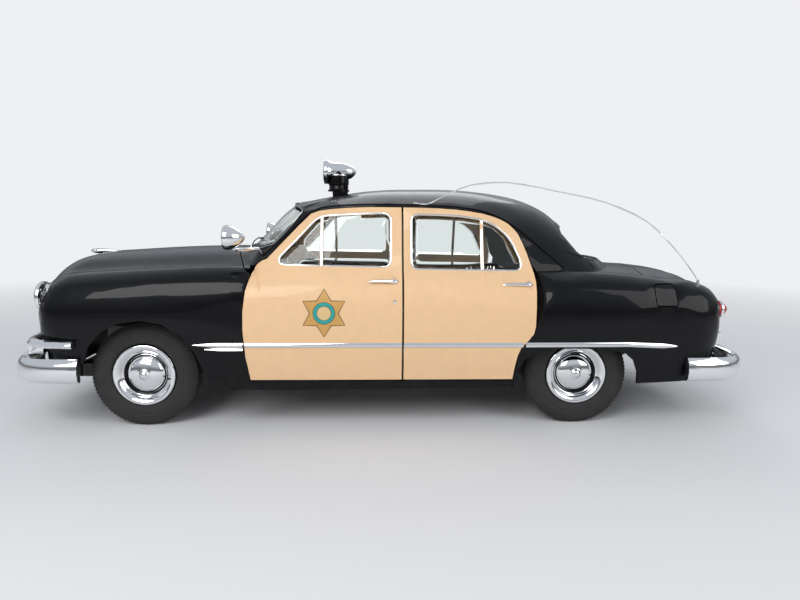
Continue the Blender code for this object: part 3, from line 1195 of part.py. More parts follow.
floor = box("floor_pan", (BULKHEAD_X, -FLOOR_HALF_WIDTH, FLOOR_Z), (FLOOR_REAR_X, FLOOR_HALF_WIDTH, FLOOR_Z + FLOOR_THICKNESS), TRIM)
floor_parts = [
    ("bulkhead", (BULKHEAD_X, -BULKHEAD_HALF_WIDTH, FLOOR_Z + FLOOR_THICKNESS / 2), (BULKHEAD_X + BULKHEAD_THICKNESS, BULKHEAD_HALF_WIDTH, BULKHEAD_TOP)),
    ("heel_board", (FLOOR_REAR_X - BULKHEAD_THICKNESS, -BOOT_FLOOR_HALF_WIDTH, FLOOR_Z + FLOOR_THICKNESS / 2), (FLOOR_REAR_X, BOOT_FLOOR_HALF_WIDTH, BOOT_FLOOR_Z)),
    ("boot_floor", (FLOOR_REAR_X - BULKHEAD_THICKNESS / 2, -BOOT_FLOOR_HALF_WIDTH, BOOT_FLOOR_Z - FLOOR_THICKNESS), (BOOT_REAR_X, BOOT_FLOOR_HALF_WIDTH, BOOT_FLOOR_Z)),
]
for name, low, high in floor_parts:
    cut(floor, helper(box(name, low, high, None)), "UNION")
for tag, _ in SIDES:
    for seat in (sill_seat, wing_seat, quarter_seat):
        cut(floor, seat[tag])
pillar_x = float(DOORS["rear"][0, 0])
for tag, sign in SIDES:
    rings = []
    for y, z in ((PILLAR_LOW_Y, FLOOR_Z + FLOOR_THICKNESS / 2), (PILLAR_LOW_Y, 0.52 * HEIGHT), (PILLAR_LOW_Y - PILLAR_DEPTH, 0.64 * HEIGHT), (PILLAR_TOP_Y, 0.88 * HEIGHT)):
        rings.append(
            [
                (pillar_x - PILLAR_HALF_X, sign * y, z), (pillar_x + PILLAR_HALF_X, sign * y, z),
                (pillar_x + PILLAR_HALF_X, sign * (y - PILLAR_DEPTH), z), (pillar_x - PILLAR_HALF_X, sign * (y - PILLAR_DEPTH), z),
            ]
        )
    cut(floor, helper(loft(f"pillar_{tag}", rings, None)), "UNION")
    for k, share in enumerate(LEAF_HEIGHT_SHARES):
        leaf(f"rear_leaf_{k}", floor, DOORS["rear"], share * HEIGHT, LEAF_THICKNESS, PILLAR_LOW_Y - PILLAR_DEPTH / 2, tag, sign)

# Frame: two rails under the floor that kick up over the rear axle, with cross-members
RAIL_HIGH_Z = FLOOR_Z - SEAT_GAP
KICK_Z = BOOT_FLOOR_Z - FLOOR_THICKNESS - SEAT_GAP
RAIL_FRONT_SHARE = 0.24517
RAIL_FRONT_X = FRONT_AXLE_X - RAIL_FRONT_SHARE * WHEELBASE
RAIL_REAR_SHARE = 0.36602
RAIL_REAR_X = REAR_AXLE_X + RAIL_REAR_SHARE * WHEELBASE
RAIL_DEPTH = 0.095
RAIL_FRONT_Z = TYRE_RADIUS - KINGPIN_HALF - HUB_GAP + SEAT_GAP
RAIL_BEND_SHARE = 0.08633
RAIL_BEND = RAIL_BEND_SHARE * WHEELBASE
ENGINE_LOW_Z_SHARE = 0.23364
ENGINE_LOW_Z = ENGINE_LOW_Z_SHARE * HEIGHT
ENGINE_LENGTH_SHARE = 0.26243
ENGINE_LENGTH = ENGINE_LENGTH_SHARE * WHEELBASE
ENGINE_X = FRONT_AXLE_X - ENGINE_LENGTH * 0.30
ENGINE_MOUNT_XS = (FRONT_AXLE_X, FRONT_AXLE_X + RAIL_BEND)
RAIL_END_Z_SHARE = 0.20312
RAIL_END_Z = RAIL_END_Z_SHARE * HEIGHT
KICK_DROP_SHARE = 0.02072
KICK_DROP = KICK_DROP_SHARE * WHEELBASE
rail_line = (
    (RAIL_FRONT_X, RAIL_END_Z), (RAIL_FRONT_X + 2 * RAIL_DEPTH, RAIL_END_Z), (FRONT_AXLE_X - RAIL_BEND, RAIL_FRONT_Z + RAIL_DEPTH), (FRONT_AXLE_X + RAIL_BEND, RAIL_FRONT_Z + RAIL_DEPTH),
    (BULKHEAD_X, RAIL_HIGH_Z), (FLOOR_REAR_X + RAIL_HALF / 4, RAIL_HIGH_Z), (REAR_AXLE_X - RAIL_BEND, KICK_Z), (REAR_AXLE_X + RAIL_BEND, KICK_Z),
    (BOOT_REAR_X - 3 * KICK_DROP, KICK_Z), (RAIL_REAR_X - 2 * RAIL_DEPTH, RAIL_END_Z), (RAIL_REAR_X, RAIL_END_Z),
)
CROSS_XS = (RAIL_FRONT_X + 2 * RAIL_HALF, BULKHEAD_X + RAIL_BEND, MIDDLE_X, FLOOR_REAR_X - RAIL_BEND, RAIL_REAR_X - 2 * RAIL_HALF)


def rail_top(x):
    return float(np.interp(x, [p[0] for p in rail_line], [p[1] for p in rail_line]))


frame = None
for tag, sign in SIDES:
    rings = []
    for x, z in rail_line:
        a, b = sign * RAIL_Y - RAIL_HALF, sign * RAIL_Y + RAIL_HALF
        rings.append([(x, a, z), (x, b, z), (x, b, z - RAIL_DEPTH), (x, a, z - RAIL_DEPTH)])
    rail = loft("chassis_frame" if frame is None else "rail_l", rings, STEEL)
    if frame is None:
        frame = rail
    else:
        cut(frame, helper(rail), "UNION")
for k, x in enumerate(ENGINE_MOUNT_XS):
    low_z = RAIL_FRONT_Z + RAIL_DEPTH / 2
    member = box(f"engine_mount_{k}", (x - RAIL_HALF, -RAIL_Y, low_z), (x + RAIL_HALF, RAIL_Y, ENGINE_LOW_Z - SEAT_GAP), None)
    cut(frame, helper(member), "UNION")
for k, x in enumerate(CROSS_XS):
    top = rail_top(x) - RAIL_HALF / 2
    member = box(f"cross_member_{k}", (x - RAIL_HALF, -RAIL_Y, top - RAIL_DEPTH / 2), (x + RAIL_HALF, RAIL_Y, top), None)
    cut(frame, helper(member), "UNION")

# Underneath: leaf springs on the rear axle, the propeller shaft, the exhaust and the fuel tank
SPRING_Y = 0.450
SPRING_HALF = 0.028
SPRING_THICKNESS = 0.022
SPRING_REACH_SHARE = 0.190
SPRING_EYE_RISE_SHARE = 0.090
SPRING_ARCH_SHARES = ((-0.70, -0.12), (-0.35, -0.06), (0.0, 0.0), (0.55, 0.30), (1.0, 1.0))
spring_reach = SPRING_REACH_SHARE * WHEELBASE
axle = bpy.data.objects["rear_axle"]
spring_low_z = TYRE_RADIUS - AXLE_RADIUS / 2
for tag, sign in SIDES:
    rings = []
    for along_share, rise_share in SPRING_ARCH_SHARES:
        x, z = REAR_AXLE_X + along_share * spring_reach, spring_low_z + rise_share * SPRING_EYE_RISE_SHARE * HEIGHT
        a, b = sign * SPRING_Y - SPRING_HALF, sign * SPRING_Y + SPRING_HALF
        rings.append([(x, a, z), (x, b, z), (x, b, z - SPRING_THICKNESS), (x, a, z - SPRING_THICKNESS)])
    cut(axle, helper(loft(f"leaf_spring_{tag}", rings, None)), "UNION")
    for k, (along_share, rise_share) in enumerate((SPRING_ARCH_SHARES[0], SPRING_ARCH_SHARES[-1])):
        eye_x, eye_z = REAR_AXLE_X + along_share * spring_reach, spring_low_z + rise_share * SPRING_EYE_RISE_SHARE * HEIGHT
        ys = sorted((sign * (RAIL_Y + RAIL_HALF + SEAT_GAP), sign * (SPRING_Y + SPRING_HALF)))
        low = (eye_x - SPRING_THICKNESS, ys[0], eye_z - 3 * SPRING_THICKNESS / 2)
        high = (eye_x + SPRING_THICKNESS / 2, ys[1], eye_z + SPRING_THICKNESS / 2)
        cut(axle, helper(box(f"spring_eye_{k}_{tag}", low, high, None)), "UNION")

# Bumpers: a blade swept round the corner from above, with two guards standing on it
BUMPER_LOW_Z_SHARE = 0.20062
BUMPER_LOW_Z = BUMPER_LOW_Z_SHARE * HEIGHT
BUMPER_HIGH_Z_SHARE = 0.30031
BUMPER_HIGH_Z = BUMPER_HIGH_Z_SHARE * HEIGHT
BUMPER_DEPTH = 0.034
BUMPER_WALL = 0.026
FRONT_BUMPER_SHARES = (
    (0.440, 0.968), (0.540, 0.969), (0.700, 0.960), (0.830, 0.925), (0.915, 0.860), (0.955, 0.765), (0.976, 0.590),
    (0.990, 0.300), (0.994, 0.0),
)
REAR_BUMPER_SHARES = (
    (0.600, 0.971), (0.690, 0.970), (0.800, 0.953), (0.890, 0.908), (0.945, 0.830), (0.970, 0.715), (0.984, 0.515),
    (0.993, 0.260), (0.995, 0.0),
)
BLADE_SHARES = ((0.0, 0.0), (0.75, 0.13), (1.0, 0.45), (0.80, 0.80), (0.10, 1.0), (-0.55, 0.92), (-0.35, 0.50), (-0.55, 0.06))
GUARD_Y_SHARE = 0.41103
GUARD_Y = GUARD_Y_SHARE * HALF_WIDTH
GUARD_HALF = 0.038
GUARD_LOW_Z_SHARE = 0.18692
GUARD_LOW_Z = GUARD_LOW_Z_SHARE * HEIGHT
GUARD_HIGH_Z_SHARE = 0.35016
GUARD_HIGH_Z = GUARD_HIGH_Z_SHARE * HEIGHT
GUARD_DEPTH = 0.055
GUARD_LEAN = 0.030
BRACKET_REACH = 0.120


def swept(name, plan, section, look):
    """A bar that follows a line seen from above. section gives (distance out, height) pairs."""
    plan = np.asarray(plan, float)
    ahead = np.gradient(plan, axis=0)
    normal = np.stack([-ahead[:, 1], ahead[:, 0]], axis=1)
    normal /= np.linalg.norm(normal, axis=1)[:, None]
    rings = [[(p[0] + n[0] * out, p[1] + n[1] * out, z) for out, z in section] for p, n in zip(plan, normal)]
    return loft(name, rings, look)


def whole_plan(shares, axle_x, reach):
    """A bumper's line from the right end round to the left. Its x are shares of the overhang."""
    half = [(axle_x + x * reach, y * HALF_WIDTH) for x, y in shares]
    return half + [(x, -y) for x, y in half[-2::-1]]


blade = [(out * BUMPER_DEPTH, BUMPER_LOW_Z + rise * (BUMPER_HIGH_Z - BUMPER_LOW_Z)) for out, rise in BLADE_SHARES]
for name, shares, axle_x, reach, out in (
    ("front_bumper", FRONT_BUMPER_SHARES, FRONT_AXLE_X, -FRONT_OVERHANG, -1),
    ("rear_bumper", REAR_BUMPER_SHARES, REAR_AXLE_X, REAR_OVERHANG, 1),
):
    plan = whole_plan(shares, axle_x, reach - out * BUMPER_DEPTH)
    plan = plan if out > 0 else plan[::-1]
    bumper = swept(name, plan, blade, CHROME)
    end_x = axle_x + reach
    for tag, sign in SIDES:
        xs = sorted((end_x - out * GUARD_LEAN, end_x - out * (GUARD_LEAN + GUARD_DEPTH)))
        guard = box(
            f"{name}_guard_{tag}",
            (xs[0], sign * GUARD_Y - GUARD_HALF, GUARD_LOW_Z),
            (xs[1], sign * GUARD_Y + GUARD_HALF, GUARD_HIGH_Z),
            None,
            taper=(out * GUARD_LEAN, 0),
        )
        cut(bumper, helper(guard), "UNION")
        rail_x = RAIL_FRONT_X if out < 0 else RAIL_REAR_X
        inner_x = end_x - out * GUARD_DEPTH * 0.6
        xs = sorted((rail_x + out * SEAT_GAP, inner_x))
        bracket = box(
            f"{name}_bracket_{tag}",
            (xs[0], sign * RAIL_Y - RAIL_HALF, RAIL_END_Z - RAIL_DEPTH + RAIL_HALF / 4),
            (xs[1], sign * RAIL_Y + RAIL_HALF, RAIL_END_Z - RAIL_HALF / 4),
            None,
        )
        cut(bumper, helper(bracket), "UNION")

# Valances close the body low down at both ends
VALANCE_WALL = 0.016
FRONT_VALANCE_SHARES = ((-1.300, 0.780), (-1.385, 0.740), (-1.430, 0.600), (-1.450, 0.300), (-1.455, 0.0))
REAR_VALANCE_SHARES = ((1.655, 0.560), (1.690, 0.480), (1.710, 0.250), (1.715, 0.0))
VALANCE_LOW_Z = RAIL_END_Z + SEAT_GAP
VALANCE_TOP_SHARES = {"front_valance": 0.4640, "rear_valance": 0.3458}
valance_plans = {}
for name, shares in (("front_valance", FRONT_VALANCE_SHARES), ("rear_valance", REAR_VALANCE_SHARES)):
    half = [tuple(p) for p in above(shares)]
    plan = half + [(x, -y) for x, y in half[-2::-1]]
    low_z, high_z = VALANCE_LOW_Z, VALANCE_TOP_SHARES[name] * HEIGHT
    valance_plans[name] = plan
    section = ((-VALANCE_WALL / 2, low_z), (VALANCE_WALL / 2, low_z), (VALANCE_WALL / 2, high_z), (-VALANCE_WALL / 2, high_z))
    swept(name, plan, section, BLACK)

# Ornament: a low bullet on a foot near the bonnet's front
ORNAMENT_SHARE = 1.450
ORNAMENT_Z_SHARE = 0.700
ORNAMENT_LENGTH_SHARE = 0.075
ORNAMENT_RADIUS = 0.017
ORNAMENT_RISE = 0.004
ornament_length = ORNAMENT_LENGTH_SHARE * WHEELBASE
ornament_at = (MIDDLE_X - ORNAMENT_SHARE * HALF_BASE, ZERO, ORNAMENT_Z_SHARE * HEIGHT)
ORNAMENT_SECTION_SHARES = ((0.0, 0.0), (0.7, 0.08), (1.0, 0.25), (0.9, 0.55), (0.5, 0.85), (0.0, 1.0))
profile = [(r * ORNAMENT_RADIUS, h * ornament_length) for r, h in ORNAMENT_SECTION_SHARES]
ornament = turned("ornament", profile, None, LAMP_STEPS // 2, ornament_at, (1, 0, 0))
foot_low_z = float(BODY.point(BODY.locate([0, 1], [(ornament_at[0] + ornament_length / 2, ZERO)]))[0, 2]) - SKIN / 2
ornament_foot = box(
    "ornament_foot",
    (ornament_at[0] + ornament_length / 4, -ORNAMENT_RISE, foot_low_z - SKIN / 4),
    (ornament_at[0] + ornament_length * 3 / 4, ORNAMENT_RISE, ornament_at[2]),
    None,
)
for piece in (ornament_foot, ornament):
    cut(bpy.data.objects["hood"], helper(piece), "UNION")

# Grille: a bar that wraps round the nose with a lamp block under each end and an upright oval in the middle
GRILLE_Z_SHARE = 0.36012
GRILLE_Z = GRILLE_Z_SHARE * HEIGHT
GRILLE_HALF = 0.026
GRILLE_DEPTH = 0.030
GRILLE_SHARES = (
    (0.440, 0.990), (0.560, 0.984), (0.680, 0.960), (0.765, 0.910), (0.815, 0.820), (0.840, 0.680), (0.855, 0.420), (0.860, 0.0),
)
BAR_SHARES = ((-0.4, -1.0), (0.5, -0.8), (1.0, 0.0), (0.5, 0.8), (-0.4, 1.0), (-0.7, 0.0))
LAMP_BLOCK_Y_SHARE = 0.69227
LAMP_BLOCK_Y = LAMP_BLOCK_Y_SHARE * HALF_WIDTH
LAMP_BLOCK_HALF_SHARE = 0.11898
LAMP_BLOCK_HALF = LAMP_BLOCK_HALF_SHARE * HALF_WIDTH
LAMP_BLOCK_LOW_Z_SHARE = 0.30405
LAMP_BLOCK_LOW_Z = LAMP_BLOCK_LOW_Z_SHARE * HEIGHT
SPINNER_RADIUS = 0.075
POST_WIDTH = 0.012
SPINNER_Y_SHARE = 0.35695
SPINNER_Y = SPINNER_Y_SHARE * HALF_WIDTH
plan = whole_plan(GRILLE_SHARES, FRONT_AXLE_X, -FRONT_OVERHANG)[::-1]
section = [(out * GRILLE_DEPTH, GRILLE_Z + rise * GRILLE_HALF) for out, rise in BAR_SHARES]
grille = swept("grille", plan, section, CHROME)
half_panel = np.array(valance_plans["front_valance"][len(FRONT_VALANCE_SHARES) - 1 :: -1])
bar_x = FRONT_AXLE_X - FRONT_OVERHANG * GRILLE_SHARES[-2][0]
for tag, sign in SIDES:
    profile = ((0, -GRILLE_DEPTH), (SPINNER_RADIUS * 0.7, -GRILLE_DEPTH), (SPINNER_RADIUS, 0), (SPINNER_RADIUS * 0.6, GRILLE_DEPTH * 1.3), (0, GRILLE_DEPTH * 2))
    spinner = turned(f"spinner_{tag}", profile, None, LAMP_STEPS, (bar_x, sign * SPINNER_Y, GRILLE_Z), (-1, 0, 0))
    cut(grille, helper(spinner), "UNION")
    block = box(
        f"lamp_block_{tag}",
        (bar_x, sign * LAMP_BLOCK_Y - LAMP_BLOCK_HALF, LAMP_BLOCK_LOW_Z),
        (bar_x + 3 * GRILLE_DEPTH, sign * LAMP_BLOCK_Y + LAMP_BLOCK_HALF, GRILLE_Z),
        None,
    )
    cut(grille, helper(block), "UNION")
    edges = np.interp((SPINNER_Y - POST_WIDTH, SPINNER_Y + POST_WIDTH), half_panel[:, 1], half_panel[:, 0])
    post = box(
        f"grille_post_{tag}",
        (bar_x, sign * SPINNER_Y - POST_WIDTH, GRILLE_Z - GRILLE_HALF / 2),
        (float(edges.min()) - VALANCE_WALL / 2 - SEAT_GAP, sign * SPINNER_Y + POST_WIDTH, GRILLE_Z + GRILLE_HALF / 2),
        None,
    )
    cut(grille, helper(post), "UNION")

# Lamps in the wings
LAMP_DEPTH = 0.110
LAMP_BULGE = 0.022
for tag, sign in SIDES:
    profile = (
        (0, -LAMP_DEPTH), (HEADLAMP_RADIUS * 0.75, -LAMP_DEPTH), (HEADLAMP_RADIUS, -LAMP_DEPTH / 2), (HEADLAMP_RADIUS, 0),
        (HEADLAMP_RADIUS * 0.85, LAMP_BULGE * 0.7), (0, LAMP_BULGE * 1.4),
    )
    head_x = FRONT_AXLE_X - HEADLAMP_REACH
    lamp = turned(f"headlight_{tag}", profile, LENS, LAMP_STEPS, (head_x, sign * HEADLAMP_Y, HEADLAMP_Z), (-1, 0, 0))
    profile = (
        (0, -LAMP_DEPTH), (TAIL_LAMP_RADIUS, -LAMP_DEPTH), (TAIL_LAMP_RADIUS, 0), (TAIL_LAMP_RADIUS * 0.7, LAMP_BULGE),
        (TAIL_LAMP_RADIUS * 0.2, LAMP_BULGE * 2), (0, LAMP_BULGE * 2.2),
    )
    tail_x = REAR_AXLE_X + TAIL_LAMP_REACH
    lamp = turned(f"taillight_{tag}", profile, RED, LAMP_STEPS, (tail_x, sign * TAIL_LAMP_Y, TAIL_LAMP_Z), (1, 0, 0))

# Inside: two bench seats, the dashboard, the steering column with its wheel, and the engine under the bonnet
SEAT_HALF_WIDTH_SHARE = 0.69227
SEAT_HALF_WIDTH = SEAT_HALF_WIDTH_SHARE * HALF_WIDTH
SEAT_FLOOR_Z = FLOOR_Z + FLOOR_THICKNESS + SEAT_GAP
CUSHION_HEIGHT_SHARE = 0.18692
CUSHION_HEIGHT = CUSHION_HEIGHT_SHARE * HEIGHT
CUSHION_DEPTH_SHARE = 0.17265
CUSHION_DEPTH = CUSHION_DEPTH_SHARE * WHEELBASE
BACK_THICKNESS = 0.150
BACK_HEIGHT_SHARE = 0.51090
BACK_HEIGHT = BACK_HEIGHT_SHARE * HEIGHT
BACK_LEAN = 0.130
SEAT_BEVEL = 0.030
FRONT_SEAT_SHARE = 0.11395
FRONT_SEAT_X = MIDDLE_X - FRONT_SEAT_SHARE * WHEELBASE
REAR_SEAT_X = FLOOR_REAR_X - BULKHEAD_THICKNESS - CUSHION_DEPTH - SEAT_GAP
REAR_SEAT_HALF_SHARE = 0.60573
REAR_SEAT_HALF = REAR_SEAT_HALF_SHARE * HALF_WIDTH
DASH_X = BULKHEAD_X + BULKHEAD_THICKNESS + SEAT_GAP
DASH_DEPTH_SHARE = 0.04489
DASH_DEPTH = DASH_DEPTH_SHARE * WHEELBASE
DASH_LOW_Z_SHARE = 0.51713
DASH_LOW_Z = DASH_LOW_Z_SHARE * HEIGHT
DASH_HALF_WIDTH_SHARE = 0.71390
DASH_HALF_WIDTH = DASH_HALF_WIDTH_SHARE * HALF_WIDTH
STEERING_Y_SHARE = 0.40022
STEERING_Y = STEERING_Y_SHARE * HALF_WIDTH
STEERING_RADIUS_SHARE = 0.13084
STEERING_RADIUS = STEERING_RADIUS_SHARE * HEIGHT
STEERING_RIM = 0.014
COLUMN_RADIUS = 0.020
ENGINE_HALF_SHARE = 0.25960
ENGINE_HALF = ENGINE_HALF_SHARE * HALF_WIDTH
ENGINE_HIGH_Z_SHARE = 0.53583
ENGINE_HIGH_Z = ENGINE_HIGH_Z_SHARE * HEIGHT

for name, x, half, back_low in (
    ("front_seat", FRONT_SEAT_X, SEAT_HALF_WIDTH, SEAT_FLOOR_Z + CUSHION_HEIGHT / 3),
    ("rear_seat", REAR_SEAT_X, REAR_SEAT_HALF, BOOT_FLOOR_Z + SEAT_GAP),
):
    seat = box(name, (x, -half, SEAT_FLOOR_Z), (x + CUSHION_DEPTH, half, SEAT_FLOOR_Z + CUSHION_HEIGHT), CLOTH, SEAT_BEVEL)
    back_x = x + CUSHION_DEPTH - BACK_THICKNESS * 0.7
    back = box(
        f"{name}_back",
        (back_x, -half, back_low),
        (back_x + BACK_THICKNESS, half, SEAT_FLOOR_Z + BACK_HEIGHT - CUSHION_HEIGHT / 3),
        None,
        SEAT_BEVEL,
        taper=(BACK_LEAN, 0),
    )
    cut(seat, helper(back), "UNION")

box("dashboard", (DASH_X, -DASH_HALF_WIDTH, DASH_LOW_Z), (DASH_X + DASH_DEPTH, DASH_HALF_WIDTH, BULKHEAD_TOP), TRIM, 4 * SEAT_GAP)
column_start = Vector((DASH_X + DASH_DEPTH + COLUMN_RADIUS, -STEERING_Y, DASH_LOW_Z - 2 * COLUMN_RADIUS))
column_end = Vector((DASH_X + DASH_DEPTH + 1.4 * STEERING_RADIUS, -STEERING_Y, BULKHEAD_TOP - COLUMN_RADIUS))
column_axis = (column_end - column_start).normalized()
steering = turned(
    "steering_wheel",
    [(STEERING_RADIUS + STEERING_RIM * math.cos(a * math.pi / 3), STEERING_RIM * math.sin(a * math.pi / 3)) for a in range(6)],
    TRIM,
    RIM_STEPS,
    column_end,
    column_axis,
)
length_ = (column_end.x - DASH_X - COLUMN_RADIUS * column_axis.z) / column_axis.x
shaft = turned("steering_shaft", ((0, -length_), (COLUMN_RADIUS, -length_), (2 * COLUMN_RADIUS, 0), (0, COLUMN_RADIUS)), None, LAMP_STEPS, column_end, column_axis)
cut(steering, helper(shaft), "UNION")
for k in range(3):
    spoke = box(
        f"spoke_{k}",
        (ZERO, -COLUMN_RADIUS / 2, -COLUMN_RADIUS / 2),
        (STEERING_RADIUS, COLUMN_RADIUS / 2, COLUMN_RADIUS / 2),
        None,
    )
    spoke.matrix_world = Matrix.Translation(column_end) @ frame_of(column_axis) @ Matrix.Rotation(k * 2 * math.pi / 3, 4, "Z")
    cut(steering, helper(spoke), "UNION")

box("engine", (ENGINE_X, -ENGINE_HALF, ENGINE_LOW_Z), (ENGINE_X + ENGINE_LENGTH, ENGINE_HALF, ENGINE_HIGH_Z), STEEL, SEAT_BEVEL)

# On the roof and wings: the siren, the two spotlights and the whip aerial
SIREN_SHARE = 0.06561
SIREN_X = MIDDLE_X - SIREN_SHARE * WHEELBASE
SIREN_Z_SHARE = 1.08100
SIREN_Z = SIREN_Z_SHARE * HEIGHT
SIREN_RADIUS = 0.092
SIREN_LENGTH = 0.245
SIREN_BASE_HALF = 0.055
SIREN_BODY_RADIUS = 0.075
SIREN_FOOT = 0.012


def roof_z(x, y=ZERO):
    """The height of the roof's skin over a place."""
    spot = CABIN.locate([0, 1], [(x, abs(y))], v_range=(CABIN.v_knots[3], CABIN.v_end))
    return float(CABIN.point(spot)[0, 2])


profile = (
    (0, 0), (SIREN_RADIUS * 0.93, 0), (SIREN_RADIUS, SIREN_LENGTH * 0.10), (SIREN_RADIUS * 0.80, SIREN_LENGTH * 0.26),
    (SIREN_RADIUS * 0.72, SIREN_LENGTH * 0.62), (SIREN_RADIUS * 0.50, SIREN_LENGTH * 0.85), (SIREN_RADIUS * 0.20, SIREN_LENGTH * 0.97), (0, SIREN_LENGTH),
)
siren_front = (SIREN_X - SIREN_LENGTH / 2, ZERO, SIREN_Z)
siren = turned("siren", profile, CHROME, LAMP_STEPS, siren_front, (1, 0, 0))
corners = [(SIREN_X + x * SIREN_BASE_HALF, y * SIREN_BASE_HALF) for x, y in ((-1, -1), (1, -1), (1, 1), (-1, 1))]
stand_top = SIREN_Z - SIREN_RADIUS / 3
stand = loft("siren_stand", [[(x, y, roof_z(x, y) - SIREN_FOOT / 2) for x, y in corners], [(x, y, stand_top) for x, y in corners]], None)
cut(siren, helper(stand), "UNION")
cut(siren, roof_seat)

SPOT_RADIUS_SHARE = 0.04984
SPOT_RADIUS = SPOT_RADIUS_SHARE * HEIGHT
SPOT_LENGTH = 0.135
SPOT_SHARE = 0.30836
SPOT_X = MIDDLE_X - SPOT_SHARE * WHEELBASE
SPOT_Y_SHARE = 0.86533
SPOT_Y = SPOT_Y_SHARE * HALF_WIDTH
SPOT_Z_SHARE = 0.78380
SPOT_Z = SPOT_Z_SHARE * HEIGHT
SPOT_ARM_RADIUS = 0.011
SPOT_FOOT_SHARES = ((-0.4640, 0.7180),)
SPOT_FOOT_REACH = 0.045
spot_foot = CABIN.locate([0, 2], side(SPOT_FOOT_SHARES), u_range=(CABIN.u_knots[1], CABIN.u_knots[5]))
spot_end = Sunk(CABIN, SPOT_ARM_RADIUS / 2).point(spot_foot)[0]
spot_bend = Sunk(CABIN, -SPOT_FOOT_REACH).point(spot_foot)[0]
for tag, sign in SIDES:
    profile = (
        (0, 0), (SPOT_RADIUS * 0.94, 0), (SPOT_RADIUS, SPOT_LENGTH * 0.12), (SPOT_RADIUS * 0.92, SPOT_LENGTH * 0.40),
        (SPOT_RADIUS * 0.60, SPOT_LENGTH * 0.72), (SPOT_RADIUS * 0.16, SPOT_LENGTH * 0.95), (0, SPOT_LENGTH),
    )
    spot = turned(f"spotlight_{tag}", profile, CHROME, LAMP_STEPS, (SPOT_X, sign * SPOT_Y, SPOT_Z), (1, 0, 0))
    start = (SPOT_X + SPOT_LENGTH * 0.3, sign * SPOT_Y, SPOT_Z - SPOT_RADIUS * 0.7)
    low = (SPOT_X + SPOT_LENGTH * 0.5, sign * SPOT_Y, spot_bend[2])
    arm = tube(f"spot_arm_{tag}", [start, low, tuple(spot_bend * [1, sign, 1]), tuple(spot_end * [1, sign, 1])], SPOT_ARM_RADIUS, CHROME)
    cut(spot, helper(arm), "UNION")
    cut(spot, roof_seat)

AERIAL_RADIUS = 0.004
AERIAL_SHARES = (
    (1.5615, 0.6020), (1.540, 0.640), (1.430, 0.752), (1.289, 0.861), (1.095, 0.9346), (0.870, 0.978), (0.640, 1.0125),
    (0.480, 1.000), (0.360, 0.955), (0.290, 0.9240), (0.227, 0.9290),
)
AERIAL_Y_SHARES = (0.830, 0.835, 0.850, 0.865, 0.875, 0.870, 0.850, 0.830, 0.810, 0.800, 0.800)
AERIAL_FOOT_RADIUS = 0.013
AERIAL_FOOT_HEIGHT = 0.030
AERIAL_FOOT_SINK = 0.016
wire = [(MIDDLE_X + x * HALF_BASE, -y * HALF_WIDTH, z * HEIGHT) for (x, z), y in zip(AERIAL_SHARES, AERIAL_Y_SHARES)]
foot_spot = BODY.locate([0, 1], [(wire[0][0], -wire[0][1])], v_range=(BODY.v_knots[3], BODY.v_end))
foot_at = BODY.point(foot_spot)[0] * [1, -1, 1]
wire[0] = tuple(foot_at + [0, 0, AERIAL_FOOT_HEIGHT / 2])
aerial = tube("antenna", wire, AERIAL_RADIUS, CHROME, 4)
foot_profile = ((0, -AERIAL_FOOT_SINK), (AERIAL_FOOT_RADIUS, -AERIAL_FOOT_SINK), (AERIAL_FOOT_RADIUS * 0.6, AERIAL_FOOT_HEIGHT), (0, AERIAL_FOOT_HEIGHT))
aerial_foot = turned("antenna_foot", foot_profile, None, LAMP_STEPS, tuple(foot_at))
cut(aerial, helper(aerial_foot), "UNION")
cut(aerial, quarter_seat["l"])

# Empties on the joint axes
HINGE_LEAN = 0.190
EMPTY_SIZE = 0.100
BONNET_HINGE_SHARE = -0.4834
BONNET_HINGE_Z_SHARE = 0.70405
BONNET_HINGE_Z = BONNET_HINGE_Z_SHARE * HEIGHT
BOOT_HINGE_SHARE = 1.2983
BOOT_HINGE_Z_SHARE = 0.63551
BOOT_HINGE_Z = BOOT_HINGE_Z_SHARE * HEIGHT
HINGES = {}
for tag, sign in SIDES:
    for key, shape in (("f", DOORS["front"]), ("r", DOORS["rear"])):
        x = float(shape[:, 0].min()) + HALF_GAP
        HINGES[f"door_{key}{tag}"] = ((x, sign * (HALF_WIDTH + SEAT_GAP), 0.486 * HEIGHT), (ZERO, -sign * HINGE_LEAN, 1.0))
HINGES["hood"] = ((MIDDLE_X + BONNET_HINGE_SHARE * HALF_BASE, ZERO, BONNET_HINGE_Z), (ZERO, 1.0, ZERO))
FUEL_HINGE_RISE = 0.002
hinge_spot = body_side([((fuel_low[0] + fuel_high[0]) / 2, fuel_high[1])])
HINGES["fuel_door"] = (tuple(Sunk(BODY, -FUEL_HINGE_RISE).point(hinge_spot)[0] * [1, -1, 1]), (-1.0, ZERO, ZERO))
HINGES["trunk_lid"] = ((MIDDLE_X + BOOT_HINGE_SHARE * HALF_BASE, ZERO, BOOT_HINGE_Z), (ZERO, -1.0, ZERO))
for name, (at, axis) in HINGES.items():
    empty = bpy.data.objects.new(f"{name}_axis", None)
    empty.empty_display_size = EMPTY_SIZE
    empty.matrix_world = Matrix.Translation(at) @ frame_of(axis)
    CAR.objects.link(empty)
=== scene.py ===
# %% [markdown]
# # A two-tone patrol saloon of the early 1950s, dressed for the camera
#
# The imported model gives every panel, wheel and seat its place and its joint. This lesson dresses that
# frame: it rebuilds the painted sheets finely enough for gloss, adds the bright trim, and gives each piece
# a material made of nodes. Nothing here is moved away from where the frame puts it.

# %% Load the frame
import json
import math

import bmesh
import bpy
import numpy as np
from mathutils import Matrix, Vector

